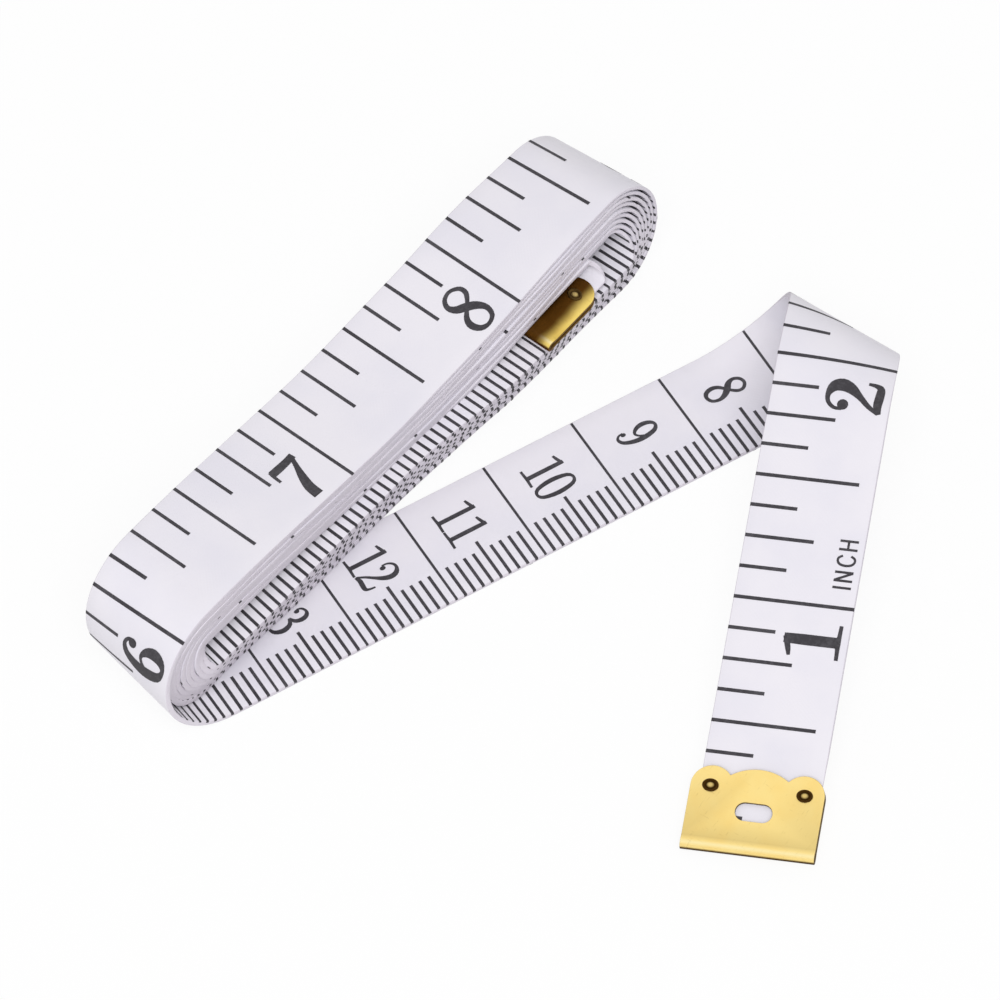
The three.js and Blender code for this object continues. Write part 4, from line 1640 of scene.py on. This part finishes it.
@dataclass
class Studio:
    """A plain white table, soft light from all round and the camera."""

    lens: float = 360.0
    sensor: float = 36.0
    elevation: float = math.radians(56.611)
    yaw: float = math.radians(51.079)
    scale: float = 10.4363
    start_pixel: Pair = (170.709, 650.949)
    floor_size: float = 6.0
    floor_drop: float = 0.00004
    floor_glow: float = 0.9
    sky: float = 0.53
    key: float = 0.69
    lamp_size: float = 1.2
    lamp_reach: float = 1.4
    lamp_from: Colour = (0.0, -0.5, 0.866)

    def camera(self) -> bpy.types.Object:
        """Place the camera far off, with a long lens."""
        right = Vector((1.0, 0.0, 0.0))
        up = Vector((0.0, math.sin(self.elevation), math.cos(self.elevation)))
        ahead = Vector((0.0, math.cos(self.elevation), -math.sin(self.elevation)))
        far = 1000.0 * self.lens / self.sensor / self.scale
        shift = right * (self.start_pixel[0] - 500.0) - up * (self.start_pixel[1] - 500.0)
        turn = Matrix.Rotation(-self.yaw, 3, "Z")
        eye = turn @ -(shift / self.scale + ahead * far) + ORIGIN
        data = bpy.data.cameras.new("camera")
        data.lens, data.sensor_width = self.lens, self.sensor
        data.clip_start, data.clip_end = 0.05, 20.0
        item = bpy.data.objects.new("camera", data)
        axes = Matrix((turn @ right, turn @ up, turn @ -ahead)).transposed()
        item.matrix_world = Matrix.Translation(eye * MM) @ axes.to_4x4()
        bpy.context.scene.collection.objects.link(item)
        bpy.context.scene.camera = item
        return item

    @staticmethod
    def seen(graph: Graph) -> Wire:
        """One for rays from the camera, from gloss and through glass."""
        path = [
            graph.node("ShaderNodeLightPath", None, None, name)
            for name in ("Is Camera Ray", "Is Glossy Ray", "Is Transmission Ray")
        ]
        return path[0].most(path[1]).most(path[2])

    def floor(self) -> bpy.types.Object:
        """Make the table top, a white plane that keeps a faint shadow."""
        Bench.clear()
        bpy.ops.mesh.primitive_plane_add(size=self.floor_size, location=(0.0, 0.0, -self.floor_drop))
        item = bpy.context.object
        item.name = "table_top"
        material, g = new_graph("table_white")
        plain = g.node("ShaderNodeBsdfDiffuse", None, {"Color": (0.9, 0.9, 0.9, 1.0)})
        light = g.node("ShaderNodeEmission", None, {"Color": (1.0, 1.0, 1.0, 1.0), "Strength": 1.0})
        both = g.node("ShaderNodeMixShader", None, {0: self.seen(g) * self.floor_glow, 1: plain, 2: light})
        g.node("ShaderNodeOutputMaterial", None, {"Surface": both})
        Bench.dress(item, material)
        return item

    def light(self) -> None:
        """Light the table with a white surround and one large soft lamp."""
        world = bpy.data.worlds.new("white_surround")
        world.use_nodes = True
        g = Graph(world.node_tree)
        seen = self.seen(g)
        glow = g.node(
            "ShaderNodeBackground",
            None,
            {"Color": (1.0, 1.0, 1.0, 1.0), "Strength": seen * (1.0 - self.sky) + self.sky},
        )
        g.node("ShaderNodeOutputWorld", None, {"Surface": glow})
        bpy.context.scene.world = world
        data = bpy.data.lights.new("soft_lamp", "AREA")
        data.shape, data.size = "DISK", self.lamp_size
        data.energy = self.key * (math.pi * self.lamp_reach) ** 2
        item = bpy.data.objects.new("soft_lamp", data)
        turn = Matrix.Rotation(-self.yaw, 3, "Z")
        place = turn @ Vector(self.lamp_from).normalized() * self.lamp_reach
        item.location = place
        item.rotation_euler = place.to_track_quat("Z", "Y").to_euler()
        item.visible_glossy = False
        bpy.context.scene.collection.objects.link(item)

    def build(self) -> None:
        """Set up the camera, the table and the light."""
        self.camera()
        self.floor()
        self.light()
        bpy.context.scene.view_settings.view_transform = "Standard"


def report(items: Iterable[bpy.types.Object]) -> None:
    """Log the name and the size of each piece."""
    for item in items:
        log.info("%s: %d faces", item.name, len(item.data.polygons))


@dataclass
class Clips:
    """The clips on both ends of a tape."""

    form: TapeForm
    # the painted shade on the inner clip rises from none to full between these places across the coil
    tarnish_start: float = -6.4
    tarnish_end: float = -4.8
    # painted shade on the rings of the inner clip's rivets
    inner_ring: float = 0.95

    def outer(self) -> EndClip:
        """The bright clip at the zero end."""
        form = self.form
        flat = form.ribbon.flats[-1]
        zero = flat.origin + flat.along * (form.coil_start + form.clip_overhang)
        return EndClip("outer", "free_end", zero + flat.across * form.clip_shift, flat.across, -flat.along)

    def inner(self) -> EndClip:
        """The clip inside the coil, with painted shade and dark reflection over all but its edge."""
        form = self.form
        x, z = form.wound(form.last_turn)
        place = Vector((x - form.clip_overhang, form.drift(form.last_turn), z))
        middle = place.y + ORIGIN.y
        # a shaded copy of the brass: deeper colours and a band of painted shade, standing for the coil's
        # shade and its dark reflection
        shaded_finish = BrassFinish(
            name="brass_with_painted_shade",
            colour=(0.96, 0.73, 0.2),
            warm=(0.95, 0.69, 0.165),
            dull=(0.112, 0.041, 0.0045),
            tarnish=((middle + self.tarnish_start) * MM, (middle + self.tarnish_end) * MM),
        )
        across, inside = Vector((0, -1, 0)), Vector((1, 0, 0))
        return EndClip("inner", "coil", place, across, inside, finish=shaded_finish, ring_dull=self.inner_ring)


def main() -> None:
    """Build the tape, its print and its clips, and set the stage."""
    logging.basicConfig(level=logging.INFO, format="%(message)s")
    Studio().build()
    form = TapeForm()
    motion = TapeMotion(form)
    cloth = ClothTape(form).build()
    ink = PrintedScales(form).build()
    for stretch in Stretch:
        motion.attach(cloth[stretch], stretch)
        motion.attach(ink[stretch], stretch)
    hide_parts("tape_winding", "tape_tail")
    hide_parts("tape_free_end")
    report([*cloth.values(), *ink.values()])
    clips = Clips(form)
    report(clips.outer().build())
    report(clips.inner().build())


if __name__ == "__main__":
    main()
